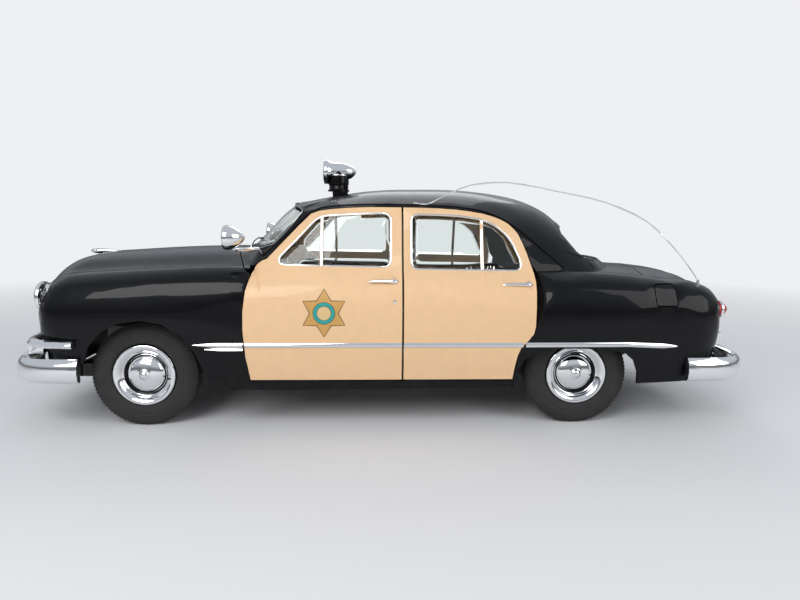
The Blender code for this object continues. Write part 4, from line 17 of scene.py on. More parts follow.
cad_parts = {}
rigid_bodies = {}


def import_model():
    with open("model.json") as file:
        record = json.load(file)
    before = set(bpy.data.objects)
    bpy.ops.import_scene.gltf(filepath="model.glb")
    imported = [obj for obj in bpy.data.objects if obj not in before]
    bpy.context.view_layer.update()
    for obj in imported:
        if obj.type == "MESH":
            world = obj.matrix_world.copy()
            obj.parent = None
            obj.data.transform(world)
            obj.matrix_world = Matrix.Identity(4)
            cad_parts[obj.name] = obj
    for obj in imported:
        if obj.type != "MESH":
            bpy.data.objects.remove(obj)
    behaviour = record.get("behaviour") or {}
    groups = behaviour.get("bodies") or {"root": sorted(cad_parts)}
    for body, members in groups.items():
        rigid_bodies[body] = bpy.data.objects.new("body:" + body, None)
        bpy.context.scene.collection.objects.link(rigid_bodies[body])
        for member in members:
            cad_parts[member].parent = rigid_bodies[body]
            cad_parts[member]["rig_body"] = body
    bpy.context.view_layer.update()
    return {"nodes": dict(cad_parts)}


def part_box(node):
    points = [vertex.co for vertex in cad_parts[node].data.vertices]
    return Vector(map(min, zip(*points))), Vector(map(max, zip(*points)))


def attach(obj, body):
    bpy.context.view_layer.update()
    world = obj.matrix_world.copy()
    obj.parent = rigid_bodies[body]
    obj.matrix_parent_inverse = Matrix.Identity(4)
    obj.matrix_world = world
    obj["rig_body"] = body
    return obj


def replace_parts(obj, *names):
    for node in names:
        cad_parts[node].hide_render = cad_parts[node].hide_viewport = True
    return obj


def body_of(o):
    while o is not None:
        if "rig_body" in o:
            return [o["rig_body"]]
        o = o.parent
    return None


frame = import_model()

# %% [markdown]
# ## Camera
#
# The photograph was taken from the car's left, a little above the window line, with a wide phone lens. The
# focal length and the place of the camera come from lining up known points of the car with the picture.

# %% The camera
CAMERA_PLACE = Vector((-0.088, -4.727, 1.403))
CAMERA_YAW = math.radians(-2.37)
CAMERA_DIP = math.radians(7.94)
CAMERA_ROLL = math.radians(-0.41)
PIXELS_WIDE = 800
FOCAL_PIXELS = 601
SENSOR = 36.0


def camera_turn(yaw, dip, roll):
    """A camera's rotation from its heading, how far it looks down, and its lean."""
    right = Vector((math.cos(yaw), math.sin(yaw), 0))
    level = Vector((-math.sin(yaw), math.cos(yaw), 0))
    ahead = level * math.cos(dip) - Vector((0, 0, 1)) * math.sin(dip)
    up = level * math.sin(dip) + Vector((0, 0, 1)) * math.cos(dip)
    leaned_right = right * math.cos(roll) - up * math.sin(roll)
    leaned_up = right * math.sin(roll) + up * math.cos(roll)
    return Matrix((leaned_right, leaned_up, -ahead)).transposed()


camera = bpy.data.objects.new("camera", bpy.data.cameras.new("camera"))
bpy.context.scene.collection.objects.link(camera)
camera.data.sensor_width = SENSOR
camera.data.lens = SENSOR * FOCAL_PIXELS / PIXELS_WIDE
camera_way = camera_turn(CAMERA_YAW, CAMERA_DIP, CAMERA_ROLL)
camera.matrix_world = Matrix.Translation(CAMERA_PLACE) @ camera_way.to_4x4()
bpy.context.scene.camera = camera

# %% [markdown]
# ## Studio
#
# Chrome and black gloss show what stands round them, so the studio matters as much as the paint. A pale
# world carries a soft darker band at the horizon, which gives bright metal its contrast, and three broad
# lamps light the car at a plain level.

# %% World, floor and lamps
SKY = (0.80, 0.84, 0.90)
HORIZON = (0.30, 0.30, 0.31)
GROUND = (0.62, 0.61, 0.60)
WORLD_LEVEL = 0.62
FLOOR_SIZE = 60.0
BACKDROP = (0.86, 0.87, 0.89)
REFLECTED_GROUND = (0.42, 0.42, 0.43)
REFLECTED_BAND = (0.17, 0.17, 0.18)
REFLECTED_SKY = (0.54, 0.57, 0.62)
FADE_START = 4.0
FADE_END = 11.0
LAMPS = (
    ("key", (-3.5, -7.0, 5.5), 5.0, 420),
    ("fill", (6.5, -5.0, 4.0), 5.0, 180),
    ("back", (1.0, 7.5, 7.0), 6.0, 170),
)


class Nodes:
    """A node tree that is built by short calls."""

    def __init__(self, tree):
        self.tree = tree

    def add(self, kind, inputs=None, **settings):
        """Makes a node. Its inputs are given by name or number, as values or as other nodes' outputs."""
        node = self.tree.nodes.new(kind)
        for key, value in settings.items():
            setattr(node, key, value)
        for key, value in (inputs or {}).items():
            if isinstance(value, bpy.types.NodeSocket):
                self.tree.links.new(value, node.inputs[key])
            else:
                node.inputs[key].default_value = value
        return node

    def ramp(self, fac, *stops):
        """A colour ramp. Each stop is a position and a colour or a grey level."""
        node = self.add("ShaderNodeValToRGB", {"Fac": fac})
        parts = node.color_ramp.elements
        while len(parts) < len(stops):
            parts.new(0.5)
        for part, (at, colour) in zip(parts, stops):
            part.position = at
            part.color = (*colour, 1.0) if isinstance(colour, tuple) else (colour, colour, colour, 1.0)
        return node.outputs["Color"]

    def math(self, operation, *values):
        """One sum of a Math node."""
        return self.add("ShaderNodeMath", dict(enumerate(values)), operation=operation).outputs[0]

    def mix(self, fac, a, b, blend="MIX"):
        """Two colours mixed."""
        a = (*a, 1.0) if isinstance(a, tuple) else a
        b = (*b, 1.0) if isinstance(b, tuple) else b
        return self.add(
            "ShaderNodeMix", {0: fac, 6: a, 7: b}, data_type="RGBA", blend_type=blend
        ).outputs[2]


def seen_rays(tree, path):
    """1 for the rays that show the backdrop: the camera's own, and those through glass and off metal."""
    direct = tree.math("MAXIMUM", path["Is Camera Ray"], path["Is Transmission Ray"])
    return tree.math("MAXIMUM", direct, path["Is Glossy Ray"])


def mirrored(tree, path):
    """1 for a ray off metal or paint. Rays through glass that isn't quite smooth count as glossy too."""
    return tree.math(
        "MULTIPLY", path["Is Glossy Ray"], tree.math("SUBTRACT", 1.0, path["Is Transmission Ray"])
    )


def make_world():
    """A pale backdrop for the camera and through glass. Metal shows it over a darker horizon band."""
    world = bpy.data.worlds.new("studio")
    world.use_nodes = True
    bpy.context.scene.world = world
    tree = Nodes(world.node_tree)
    world.node_tree.nodes.clear()
    way = tree.add("ShaderNodeTexCoord").outputs["Generated"]
    height = tree.add("ShaderNodeSeparateXYZ", {0: way}).outputs["Z"]
    shade = tree.math("MULTIPLY_ADD", height, 0.5, 0.5)
    stops = ((0.0, GROUND), (0.47, GROUND), (0.50, HORIZON), (0.53, HORIZON), (0.62, SKY), (1.0, SKY))
    colour = tree.ramp(shade, *stops)
    path = tree.add("ShaderNodeLightPath").outputs
    banded = tree.ramp(
        shade, (0.0, REFLECTED_GROUND), (0.49, REFLECTED_BAND), (0.53, REFLECTED_BAND),
        (0.64, REFLECTED_SKY)
    )
    shown = tree.mix(mirrored(tree, path), BACKDROP, banded)
    seen = tree.add("ShaderNodeBackground", {"Color": shown, "Strength": 1.0})
    light = tree.add("ShaderNodeBackground", {"Color": colour, "Strength": WORLD_LEVEL})
    straight = seen_rays(tree, path)
    mixed = tree.add("ShaderNodeMixShader", {0: straight, 1: light.outputs[0], 2: seen.outputs[0]})
    tree.add("ShaderNodeOutputWorld", {0: mixed.outputs[0]})


def add_lamp(name, place, size, power):
    """A broad soft lamp that looks at the car."""
    lamp = bpy.data.objects.new(name, bpy.data.lights.new(name, "AREA"))
    bpy.context.scene.collection.objects.link(lamp)
    lamp.data.size = size
    lamp.data.energy = power
    aim = Vector((0, 0, 0.6)) - Vector(place)
    lamp.matrix_world = Matrix.Translation(place) @ aim.to_track_quat("-Z", "Y").to_matrix().to_4x4()


def make_floor():
    """A pale floor under the wheels. Far off it fades into the backdrop."""
    mesh = bpy.data.meshes.new("studio_floor")
    half = FLOOR_SIZE / 2
    mesh.from_pydata(
        [(-half, -half, 0), (half, -half, 0), (half, half, 0), (-half, half, 0)], [], [(0, 1, 2, 3)]
    )
    floor = bpy.data.objects.new("studio_floor", mesh)
    bpy.context.scene.collection.objects.link(floor)
    look = bpy.data.materials.new("studio_floor")
    look.use_nodes = True
    shader = look.node_tree.nodes["Principled BSDF"]
    shader.inputs["Base Color"].default_value = (0.72, 0.72, 0.73, 1)
    shader.inputs["Roughness"].default_value = 0.8
    tree = Nodes(look.node_tree)
    place = tree.add("ShaderNodeTexCoord").outputs["Object"]
    away = tree.add("ShaderNodeVectorMath", {0: place}, operation="LENGTH").outputs["Value"]
    far = tree.ramp(tree.math("DIVIDE", away, FADE_END), (FADE_START / FADE_END, 0.0), (1.0, 1.0))
    path = tree.add("ShaderNodeLightPath").outputs
    seen = seen_rays(tree, path)
    shown = tree.mix(mirrored(tree, path), BACKDROP, REFLECTED_GROUND)
    back = tree.add("ShaderNodeEmission", {"Color": shown, "Strength": 1.0})
    blend = tree.add(
        "ShaderNodeMixShader",
        {0: tree.math("MULTIPLY", far, seen), 1: shader.outputs[0], 2: back.outputs[0]}
    )
    look.node_tree.links.new(blend.outputs[0], look.node_tree.nodes["Material Output"].inputs["Surface"])
    mesh.materials.append(look)


make_world()
make_floor()
for lamp_values in LAMPS:
    add_lamp(*lamp_values)
bpy.context.scene.view_settings.view_transform = "Standard"
print("lamps:", [name for name, *_ in LAMPS])

# %% [markdown]
# ## Finishes
#
# Each finish is a small node tree on the piece's own coordinates: paint has a clear coat over a faint
# mottle and road dust low down, chrome has fine wiping marks, rubber has a dusty bloom, and cloth has a
# weave. The helper below starts each one and joins colour, roughness and bump to the shader.

# %% The helper that starts a finish
def finish_material(name, colour, **settings):
    """A Principled material. join() later links patterns to it."""
    made = bpy.data.materials.new(name)
    made.use_nodes = True
    shader = made.node_tree.nodes["Principled BSDF"]
    shader.inputs["Base Color"].default_value = (*colour, 1.0)
    for key, value in settings.items():
        shader.inputs[key.replace("_", " ").title().replace("Ior", "IOR")].default_value = value
    tree = Nodes(made.node_tree)
    tree.shader = shader
    tree.place = tree.add("ShaderNodeTexCoord").outputs["Object"]
    return made, tree


def noise(tree, scale, detail=3.0, rough=0.5, place=None):
    """A noise pattern's grey value."""
    inputs = {"Vector": place or tree.place, "Scale": scale, "Detail": detail, "Roughness": rough}
    return tree.add("ShaderNodeTexNoise", inputs).outputs[0]


def join(tree, colour=None, roughness=None, height=None, depth=0.001, strength=1.0):
    """Links a colour, a roughness or a bump height to the shader."""
    links = tree.tree.links
    if colour is not None:
        links.new(colour, tree.shader.inputs["Base Color"])
    if roughness is not None:
        links.new(roughness, tree.shader.inputs["Roughness"])
    if height is not None:
        bump = tree.add("ShaderNodeBump", {"Height": height, "Distance": depth, "Strength": strength})
        links.new(bump.outputs[0], tree.shader.inputs["Normal"])


# %% Paints, metals, glass, rubber and cloth
def paint(name, colour, dust):
    """Body paint: mottle, a clear coat, and dust that grows towards the ground."""
    made, tree = finish_material(
        name, colour, roughness=0.30, specular_ior_level=0.06, coat_weight=0.50, coat_roughness=0.02,
        coat_ior=1.38
    )
    mottle = noise(tree, 14, 4.0)
    height = tree.add("ShaderNodeSeparateXYZ", {0: tree.place}).outputs["Z"]
    low = tree.ramp(height, (0.18, 1.0), (0.62, 0.0))
    film = tree.math("MULTIPLY", low, tree.ramp(noise(tree, 9, 6.0, 0.6), (0.45, 0.0), (0.85, 0.35)))
    shade = tree.mix(mottle, tuple(c * 0.94 for c in colour), tuple(min(1.0, c * 1.05) for c in colour))
    join(
        tree, tree.mix(film, shade, dust), tree.ramp(mottle, (0.3, 0.28), (0.7, 0.36)),
        noise(tree, 700, 1.0), 0.0001, 0.15
    )
    return made


def bright_metal(name, colour, roughness, grain=160):
    """Chrome and other bright plate: fine wiping marks and a little haze."""
    made, tree = finish_material(name, colour, metallic=1.0, roughness=roughness)
    marks = noise(tree, grain, 5.0, 0.7)
    haze = noise(tree, 11, 3.0)
    shade = tree.mix(haze, tuple(c * 0.93 for c in colour), colour)
    rough = tree.math("MULTIPLY_ADD", marks, roughness, roughness * 0.6)
    join(tree, shade, rough, marks, 0.0001, 0.08)
    return made


def rubber(name, colour):
    """Tyre rubber with a dusty bloom."""
    made, tree = finish_material(name, colour, roughness=0.78, specular_ior_level=0.35)
    bloom = noise(tree, 18, 6.0, 0.62)
    dusty = tree.ramp(bloom, (0.35, colour), (0.90, (0.045, 0.042, 0.038)))
    join(tree, dusty, tree.ramp(bloom, (0.3, 0.66), (0.7, 0.88)), noise(tree, 420, 4.0), 0.0004, 0.35)
    return made


def cloth(name, colour, dark):
    """Woven seat cloth: two crossing waves of thread over a soft shade change."""
    made, tree = finish_material(name, colour, roughness=0.85, sheen_weight=0.35, sheen_roughness=0.5)
    across = tree.add(
        "ShaderNodeTexWave", {"Vector": tree.place, "Scale": 190, "Distortion": 1.5}, bands_direction="Y"
    )
    along = tree.add(
        "ShaderNodeTexWave", {"Vector": tree.place, "Scale": 190, "Distortion": 1.5}, bands_direction="X"
    )
    weave = tree.math("MULTIPLY", across.outputs["Fac"], along.outputs["Fac"])
    worn = noise(tree, 7, 4.0)
    shade = tree.mix(worn, tree.mix(weave, dark, colour), colour)
    join(tree, shade, None, weave, 0.0008, 0.5)
    return made


def glass(name, colour):
    """Clear glass with a faint smear of dust on it."""
    made, tree = finish_material(name, colour, roughness=0.0, transmission_weight=1.0, ior=1.38)
    smear = tree.ramp(noise(tree, 6, 5.0, 0.6), (0.5, 0.0), (0.9, 0.03))
    join(tree, None, smear)
    return made


def plain(name, colour, roughness, metallic=0.0, scale=60, depth=0.0004, spread=0.12):
    """A cast or moulded surface: a fine grain, with its colour and gloss a little uneven."""
    made, tree = finish_material(name, colour, metallic=metallic, roughness=roughness)
    grain = noise(tree, scale, 5.0, 0.6)
    shade = tree.mix(
        grain, tuple(c * (1 - spread) for c in colour), tuple(min(1.0, c * (1 + spread)) for c in colour)
    )
    join(
        tree, shade, tree.math("MULTIPLY_ADD", grain, 0.2, roughness - 0.1), noise(tree, scale * 8, 3.0),
        depth, 0.3
    )
    return made


BLACK = paint("black_gloss_paint", (0.003, 0.0032, 0.004), (0.030, 0.027, 0.024))
CREAM = paint("cream_gloss_paint", (0.78, 0.52, 0.30), (0.55, 0.46, 0.36))
CHROME = bright_metal("chrome_plate", (0.86, 0.87, 0.88), 0.05)
CLEAR = glass("window_glass_clear", (0.93, 0.97, 0.95))
LAMP_CLEAR = glass("lamp_glass_clear", (0.97, 0.97, 0.95))
RED_LENS = plain("tail_lens_red", (0.40, 0.012, 0.010), 0.18, scale=40)
RUBBER = rubber("tyre_rubber", (0.020, 0.020, 0.021))
STEEL = plain("chassis_black", (0.045, 0.044, 0.043), 0.55, 0.3, 25, 0.0006, 0.35)
SEAT_CLOTH = cloth("grey_seat_cloth", (0.50, 0.49, 0.47), (0.26, 0.25, 0.24))
TRIM_PAINT = plain("grey_trim_paint", (0.22, 0.21, 0.20), 0.42, 0.0, 80)
DARK_RUBBER = plain("seal_rubber", (0.018, 0.018, 0.018), 0.6, 0.0, 120)
BLACK_PLASTIC = plain("black_wheel_plastic", (0.03, 0.03, 0.03), 0.25, 0.0, 60)

FINISH_OF_SLOT = {
    "black_paint": BLACK, "cream_paint": CREAM, "chrome": CHROME, "window_glass": CLEAR, "tyre": RUBBER,
    "chassis_steel": STEEL, "upholstery": SEAT_CLOTH, "interior_paint": TRIM_PAINT, "tail_lens": RED_LENS,
    "lamp_glass": LAMP_CLEAR, "black_plastic": BLACK_PLASTIC,
}
for node in frame["nodes"].values():
    for entry in node.material_slots:
        entry.material = FINISH_OF_SLOT.get(entry.material.name.split(".")[0], STEEL)
print("finishes:", len(bpy.data.materials))
# %% [markdown]
# ## Smooth sheet metal
#
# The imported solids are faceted, which gloss paint shows at once. A press tool gives sheet metal one flowing
# curve between crisp edges. Each facet is therefore rebuilt as a small curved patch: its edges bend to meet
# the normals at its corners, and edges that are sharp stay sharp and follow the run of the crease. This
# keeps every edge where the frame has it, which a plain subdivision would pull in.

# %% Curved patches
CREASE = math.radians(34)
WELD = 1e-5
RUN_ON = -0.82
ALONG_RUN = 0.85
MOST_BULGE = 0.22


def welded(node):
    """A node's points and triangles with its split corners joined."""
    shape = bmesh.new()
    shape.from_mesh(frame["nodes"][node].data)
    bmesh.ops.remove_doubles(shape, verts=shape.verts, dist=WELD)
    bmesh.ops.triangulate(shape, faces=shape.faces)
    bmesh.ops.dissolve_degenerate(shape, dist=WELD, edges=shape.edges)
    bmesh.ops.triangulate(shape, faces=shape.faces)
    mesh = bpy.data.meshes.new(node)
    shape.to_mesh(mesh)
    shape.free()
    for polygon in mesh.polygons:
        polygon.use_smooth = True
    mesh.set_sharp_from_angle(angle=CREASE)
    return mesh


def crease_runs(mesh):
    """For each point on exactly two sharp edges that run on into each other, the direction of the run."""
    points = np.array([v.co for v in mesh.vertices])
    sharp = mesh.attributes.get("sharp_edge")
    on = np.zeros(len(mesh.edges), bool)
    if sharp:
        sharp.data.foreach_get("value", on)
    ends = np.array([e.vertices for e in mesh.edges])
    near = {}
    for a, b in ends[on]:
        near.setdefault(int(a), []).append(int(b))
        near.setdefault(int(b), []).append(int(a))
    runs = {}
    for at, others in near.items():
        if len(others) == 2:
            one, two = points[others[0]] - points[at], points[others[1]] - points[at]
            one, two = one / np.linalg.norm(one), two / np.linalg.norm(two)
            if one @ two < RUN_ON:
                runs[at] = (one - two) / np.linalg.norm(one - two)
    return {tuple(sorted((int(a), int(b)))) for a, b in ends[on]}, runs


def curved(mesh, steps):
    """Points and triangles of the mesh with each triangle split into curved patches, steps to a side."""
    points = np.array([v.co for v in mesh.vertices])
    tris = np.array([p.vertices for p in mesh.polygons])
    normals = np.array([n.vector for n in mesh.corner_normals]).reshape(-1, 3, 3)
    sharp, runs = crease_runs(mesh)
    corner = points[tris]
    pull = {}
    for i in range(3):
        for j in ((i + 1) % 3, (i + 2) % 3):
            way = corner[:, j] - corner[:, i]
            off = (way * normals[:, i]).sum(axis=1, keepdims=True) * normals[:, i]
            limit = MOST_BULGE * np.linalg.norm(way, axis=1, keepdims=True)
            size = np.maximum(np.linalg.norm(off, axis=1, keepdims=True), 1e-12)
            pull[i, j] = corner[:, i] + (way - off * np.minimum(1, limit / size)) / 3
            for t, (a, b) in enumerate(zip(tris[:, i], tris[:, j])):
                if tuple(sorted((int(a), int(b)))) in sharp:
                    run = runs.get(int(a))
                    if run is None:
                        pull[i, j][t] = corner[t, i] + way[t] / 3
                    else:
                        reach = np.linalg.norm(way[t])
                        aim = run if run @ way[t] > 0 else -run
                        straight = aim @ way[t] / reach
                        heading = aim if straight > ALONG_RUN else way[t] / reach
                        pull[i, j][t] = corner[t, i] + heading * reach / 3
    edge = sum(pull.values()) / 6
    middle = edge + (edge - corner.mean(axis=1)) / 2
    grid = [(i, j) for i in range(steps + 1) for j in range(steps + 1 - i)]
    index = {at: k for k, at in enumerate(grid)}
    u = np.array([i / steps for i, j in grid])[None, :, None]
    v = np.array([j / steps for i, j in grid])[None, :, None]
    w = 1 - u - v
    a, b, c = (corner[:, k][:, None] for k in range(3))
    p = {key: value[:, None] for key, value in pull.items()}
    made = w**3 * a + u**3 * b + v**3 * c + 6 * u * v * w * middle[:, None]
    made = made + 3 * w * w * (u * p[0, 1] + v * p[0, 2]) + 3 * u * u * (w * p[1, 0] + v * p[1, 2])
    made = made + 3 * v * v * (w * p[2, 0] + u * p[2, 1])
    small = []
    for i in range(steps):
        for j in range(steps - i):
            small.append((index[i, j], index[i + 1, j], index[i, j + 1]))
            if i + j < steps - 1:
                small.append((index[i + 1, j], index[i + 1, j + 1], index[i, j + 1]))
    shift = (np.arange(len(tris)) * len(grid))[:, None, None]
    return made.reshape(-1, 3), (np.array(small)[None] + shift).reshape(-1, 3)


BODY_OF = {}
for name, node in frame["nodes"].items():
    BODY_OF[name] = body_of(node)[0]


def make(name, points, faces, look, body, crease=CREASE, weld=WELD, turn_out=True):
    """A smooth-shaded object from points and faces, on a body."""
    mesh = bpy.data.meshes.new(name)
    mesh.from_pydata([tuple(map(float, p)) for p in points], [], [tuple(map(int, f)) for f in faces])
    if weld:
        shape = bmesh.new()
        shape.from_mesh(mesh)
        bmesh.ops.remove_doubles(shape, verts=shape.verts, dist=weld)
        if weld > WELD:
            bmesh.ops.dissolve_degenerate(shape, dist=weld, edges=shape.edges)
        if turn_out:
            bmesh.ops.recalc_face_normals(shape, faces=shape.faces)
        shape.to_mesh(mesh)
        shape.free()
    for polygon in mesh.polygons:
        polygon.use_smooth = True
    mesh.set_sharp_from_angle(angle=crease)
    mesh.materials.append(look)
    made = bpy.data.objects.new(name, mesh)
    bpy.context.scene.collection.objects.link(made)
    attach(made, body)
    return made


IRON_TOP = 1.064
IRON_FADE = 0.016
PRESSED_WELD = 6e-4


def ironed(points, faces, sign, start, end, fade_start=0.0, fade_end=0.0):
    """A side's skin from start to end, below the belt, laid on one smooth fitted surface. A door's plain pull
    handle is pressed flat with it, because a bright one takes its place."""
    x, y, z = points[:, 0], sign * points[:, 1], points[:, 2]
    a, b = (x - (start + end) / 2) / (end - start) * 2, (z - 0.7) / 0.36
    within = (x > start - 0.02) & (x < end + 0.02)
    basis = np.stack([a**i * b**j for i in range(4) for j in range(7)], axis=1)
    ways = np.cross(points[faces[:, 1]] - points[faces[:, 0]], points[faces[:, 2]] - points[faces[:, 0]])
    facing = np.zeros(len(points))
    for k in range(3):
        np.add.at(facing, faces[:, k], sign * ways[:, 1] / (np.linalg.norm(ways, axis=1) + 1e-12))
    low = (z < IRON_TOP + 0.012) & (y > 0.78) & within
    keep = low & (facing > 0.5)
    for limit in (0.03, 0.012, 0.005, 0.003, 0.003):
        fit = basis @ np.linalg.lstsq(basis[keep], y[keep], rcond=None)[0]
        keep = low & (facing > 0.5) & (np.abs(y - fit) < limit)
    hold = np.clip((IRON_TOP - z) / IRON_FADE, 0, 1)
    if fade_start:
        hold = hold * np.clip((x - start) / fade_start, 0, 1)
    if fade_end:
        hold = hold * np.clip((end - x) / fade_end, 0, 1)
    hold = hold * hold * (3 - 2 * hold)
    moved = np.where(low & (y > fit - 0.003), y + (fit - y) * hold, y)
    return np.stack([x, sign * moved, z], axis=1)


def largest_face(mesh, outward):
    """The triangles of a pane's outer face: the larger smooth patch that lies further outwards."""
    sharp, _ = crease_runs(mesh)
    patch = list(range(len(mesh.polygons)))

    def root(k):
        while patch[k] != k:
            k = patch[k]
        return k

    seen = {}
    for polygon in mesh.polygons:
        for key in polygon.edge_keys:
            if key not in sharp and key in seen:
                patch[root(polygon.index)] = root(seen[key])
            seen[key] = polygon.index
    groups = {}
    for polygon in mesh.polygons:
        groups.setdefault(root(polygon.index), []).append(polygon)
    big = sorted(groups.values(), key=lambda group: -sum(p.area for p in group))[:2]

    def reach(group):
        return sum(p.area * (p.center @ outward) for p in group) / sum(p.area for p in group)

    return max(big, key=reach)


def pane(node, outward, thickness=0.005):
    """A window as one curved face with an even thickness, so that it doesn't bend what is seen through it."""
    coarse = welded(node)
    chosen = {p.index for p in largest_face(coarse, Vector(outward))}
    shape = bmesh.new()
    shape.from_mesh(coarse)
    bmesh.ops.delete(shape, geom=[f for f in shape.faces if f.index not in chosen], context="FACES")
    shape.to_mesh(coarse)
    shape.free()
    coarse.set_sharp_from_angle(angle=CREASE)
    points, faces = curved(coarse, 4)
    bpy.data.meshes.remove(coarse)
    made = make(f"{node}_pane", points, faces, CLEAR, BODY_OF[node], turn_out=False)
    rims = rim_of(made.data)
    thick = made.modifiers.new("thickness", "SOLIDIFY")
    thick.thickness = thickness
    thick.offset = -1.0
    baked = bpy.data.meshes.new_from_object(made.evaluated_get(bpy.context.evaluated_depsgraph_get()))
    made.modifiers.clear()
    made.data = baked
    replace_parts(made, node)
    return made, rims


def rim_of(mesh):
    """The open edge of a sheet as a run of points, with the sheet's normals there."""
    count = {}
    for polygon in mesh.polygons:
        for key in polygon.edge_keys:
            count[key] = count.get(key, 0) + 1
    near = {}
    for a, b in (key for key, times in count.items() if times == 1):
        near.setdefault(a, []).append(b)
        near.setdefault(b, []).append(a)
    start = min(near)
    run, last, at = [start], None, start
    while True:
        following = [k for k in near[at] if k != last]
        last, at = at, following[0]
        if at == start or len(run) > len(near):
            break
        run.append(at)
    return np.array([mesh.vertices[k].co for k in run]), np.array([mesh.vertices[k].normal for k in run])


def dress(node, steps=3, look=None):
    """Stands a smooth copy in for a node."""
    source = frame["nodes"][node]
    coarse = welded(node)
    points, faces = curved(coarse, steps)
    bpy.data.meshes.remove(coarse)
    side_sign = -1 if node.endswith("l") else 1
    if node.startswith("door_"):
        points = ironed(points, faces, side_sign, points[:, 0].min(), points[:, 0].max())
    if node.startswith("quarter_"):
        points = ironed(points, faces, side_sign, points[:, 0].min(), 1.62, fade_end=0.30)
    if node.startswith("front_fender_"):
        points = ironed(points, faces, side_sign, -1.75, points[:, 0].max(), fade_start=0.30)
    weld = PRESSED_WELD if node.startswith("door_") else WELD
    look = look or source.material_slots[0].material
    made = make(f"{node}_sheet", points, faces, look, BODY_OF[node], weld=weld)
    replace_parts(made, node)
    return made


# %% Dress the panels, the glass and the bright parts
PANES = {
    "windshield": (-0.8, 0, 0.6), "rear_window": (0.8, 0, 0.6), "glass_fl": (0, -1, 0),
    "glass_rl": (0, -1, 0),
    "glass_fr": (0, 1, 0), "glass_rr": (0, 1, 0),
}
PLAIN = {
    "front_seat", "rear_seat", "floor_pan", "dashboard", "chassis_frame", "engine", "knuckle_l",
    "knuckle_r",
    "front_axle", "rear_axle",
}
DRESSED = {name: dress(name) for name in frame["nodes"] if name not in PLAIN and name not in PANES}
RIMS = {}
for name, outward in PANES.items():
    DRESSED[name], RIMS[name] = pane(name, outward)
print("smooth pieces:", len(DRESSED), "triangles:", sum(len(o.data.polygons) for o in DRESSED.values()))
# %% [markdown]
# ## Bright trim
#
# On the real car the bright pieces are pressed or rolled strips, clipped on to the finished sheets. So here
# each strip is a section swept along a path that is dropped on to the sheet it belongs to, and it moves
# with that sheet. A strip that crosses a shut line is cut there.

# %% Dropping points on to sheets, and sweeping sections
from mathutils.bvhtree import BVHTree

MIDDLE_X = -0.169
OUTSIDE = 1.3
SIDES = (("l", -1), ("r", 1))
TREES = {}


def tree_of(name):
    """A search tree over a dressed piece."""
    if name not in TREES:
        mesh = DRESSED[name].data
        TREES[name] = BVHTree.FromPolygons(
            [v.co for v in mesh.vertices], [p.vertices for p in mesh.polygons]
        )
    return TREES[name]


def drop(name, start, way):
    """Where a ray from start along way meets a piece, or None."""
    hit = tree_of(name).ray_cast(Vector(start), Vector(way))
    return np.array(hit[0]) if hit[0] is not None else None


def on_side(name, xz, sign, lift=0.0):
    """Side-view points dropped on to a piece from outside. Points that miss take their neighbours' depth."""
    found = [drop(name, (x, sign * OUTSIDE, z), (0, -sign, 0)) for x, z in xz]
    known = [k for k, hit in enumerate(found) if hit is not None]
    depth = np.interp(np.arange(len(xz)), known, [abs(found[k][1]) for k in known])
    return np.array([(x, sign * (y + lift), z) for (x, z), y in zip(xz, depth)])


def resampled(points, step, closed=False):
    """Points at an even step along a polyline."""
    points = np.asarray(points, float)
    if closed:
        points = np.vstack([points, points[:1]])
    lengths = np.concatenate([[0], np.cumsum(np.linalg.norm(np.diff(points, axis=0), axis=1))])
    count = max(2, round(lengths[-1] / step) + 1)
    at = np.linspace(0, lengths[-1], count)
    made = np.stack([np.interp(at, lengths, points[:, k]) for k in range(points.shape[1])], axis=1)
    return made[:-1] if closed else made


def softened(points, rounds, closed=False):
    """A polyline with its corners eased."""
    for _ in range(rounds):
        ahead, behind = np.roll(points, -1, axis=0), np.roll(points, 1, axis=0)
        eased = (ahead + behind + 2 * points) / 4
        if not closed:
            eased[0], eased[-1] = points[0], points[-1]
        points = eased
    return points


def sweep(name, path, section, look, body, out, closed=False, scale=None):
    """A closed section (out, up) swept along a path. The section's first axis follows the direction out."""
    path = np.asarray(path, float)
    ways = np.gradient(path, axis=0)
    if closed:
        ways = np.roll(path, -1, axis=0) - np.roll(path, 1, axis=0)
    ways /= np.linalg.norm(ways, axis=1, keepdims=True)
    out = np.broadcast_to(np.asarray(out, float), path.shape)
    out = out - (out * ways).sum(axis=1, keepdims=True) * ways
    out = out / np.linalg.norm(out, axis=1, keepdims=True)
    up = np.cross(ways, out)
    section = np.asarray(section, float)
    scale = np.ones(len(path)) if scale is None else np.asarray(scale)
    spread = section[None, :, 0, None] * out[:, None] + section[None, :, 1, None] * up[:, None]
    points = path[:, None] + spread * scale[:, None, None]
    count, size = len(path), len(section)
    faces = []
    for k in range(count if closed else count - 1):
        for j in range(size):
            a, b = k * size + j, k * size + (j + 1) % size
            c, d = ((k + 1) % count) * size + (j + 1) % size, ((k + 1) % count) * size + j
            faces.append((a, b, c, d))
    if not closed:
        faces += [tuple(range(size)), tuple(range((count - 1) * size, count * size))[::-1]]
    return make(name, points.reshape(-1, 3), faces, look, body, weld=WELD)


def round_section(radius, steps=12, flat=1.0):
    """A closed round section, flattened across by a factor."""
    turns = np.linspace(0, 2 * math.pi, steps, endpoint=False)
    return [(math.cos(a) * radius, math.sin(a) * radius * flat) for a in turns]


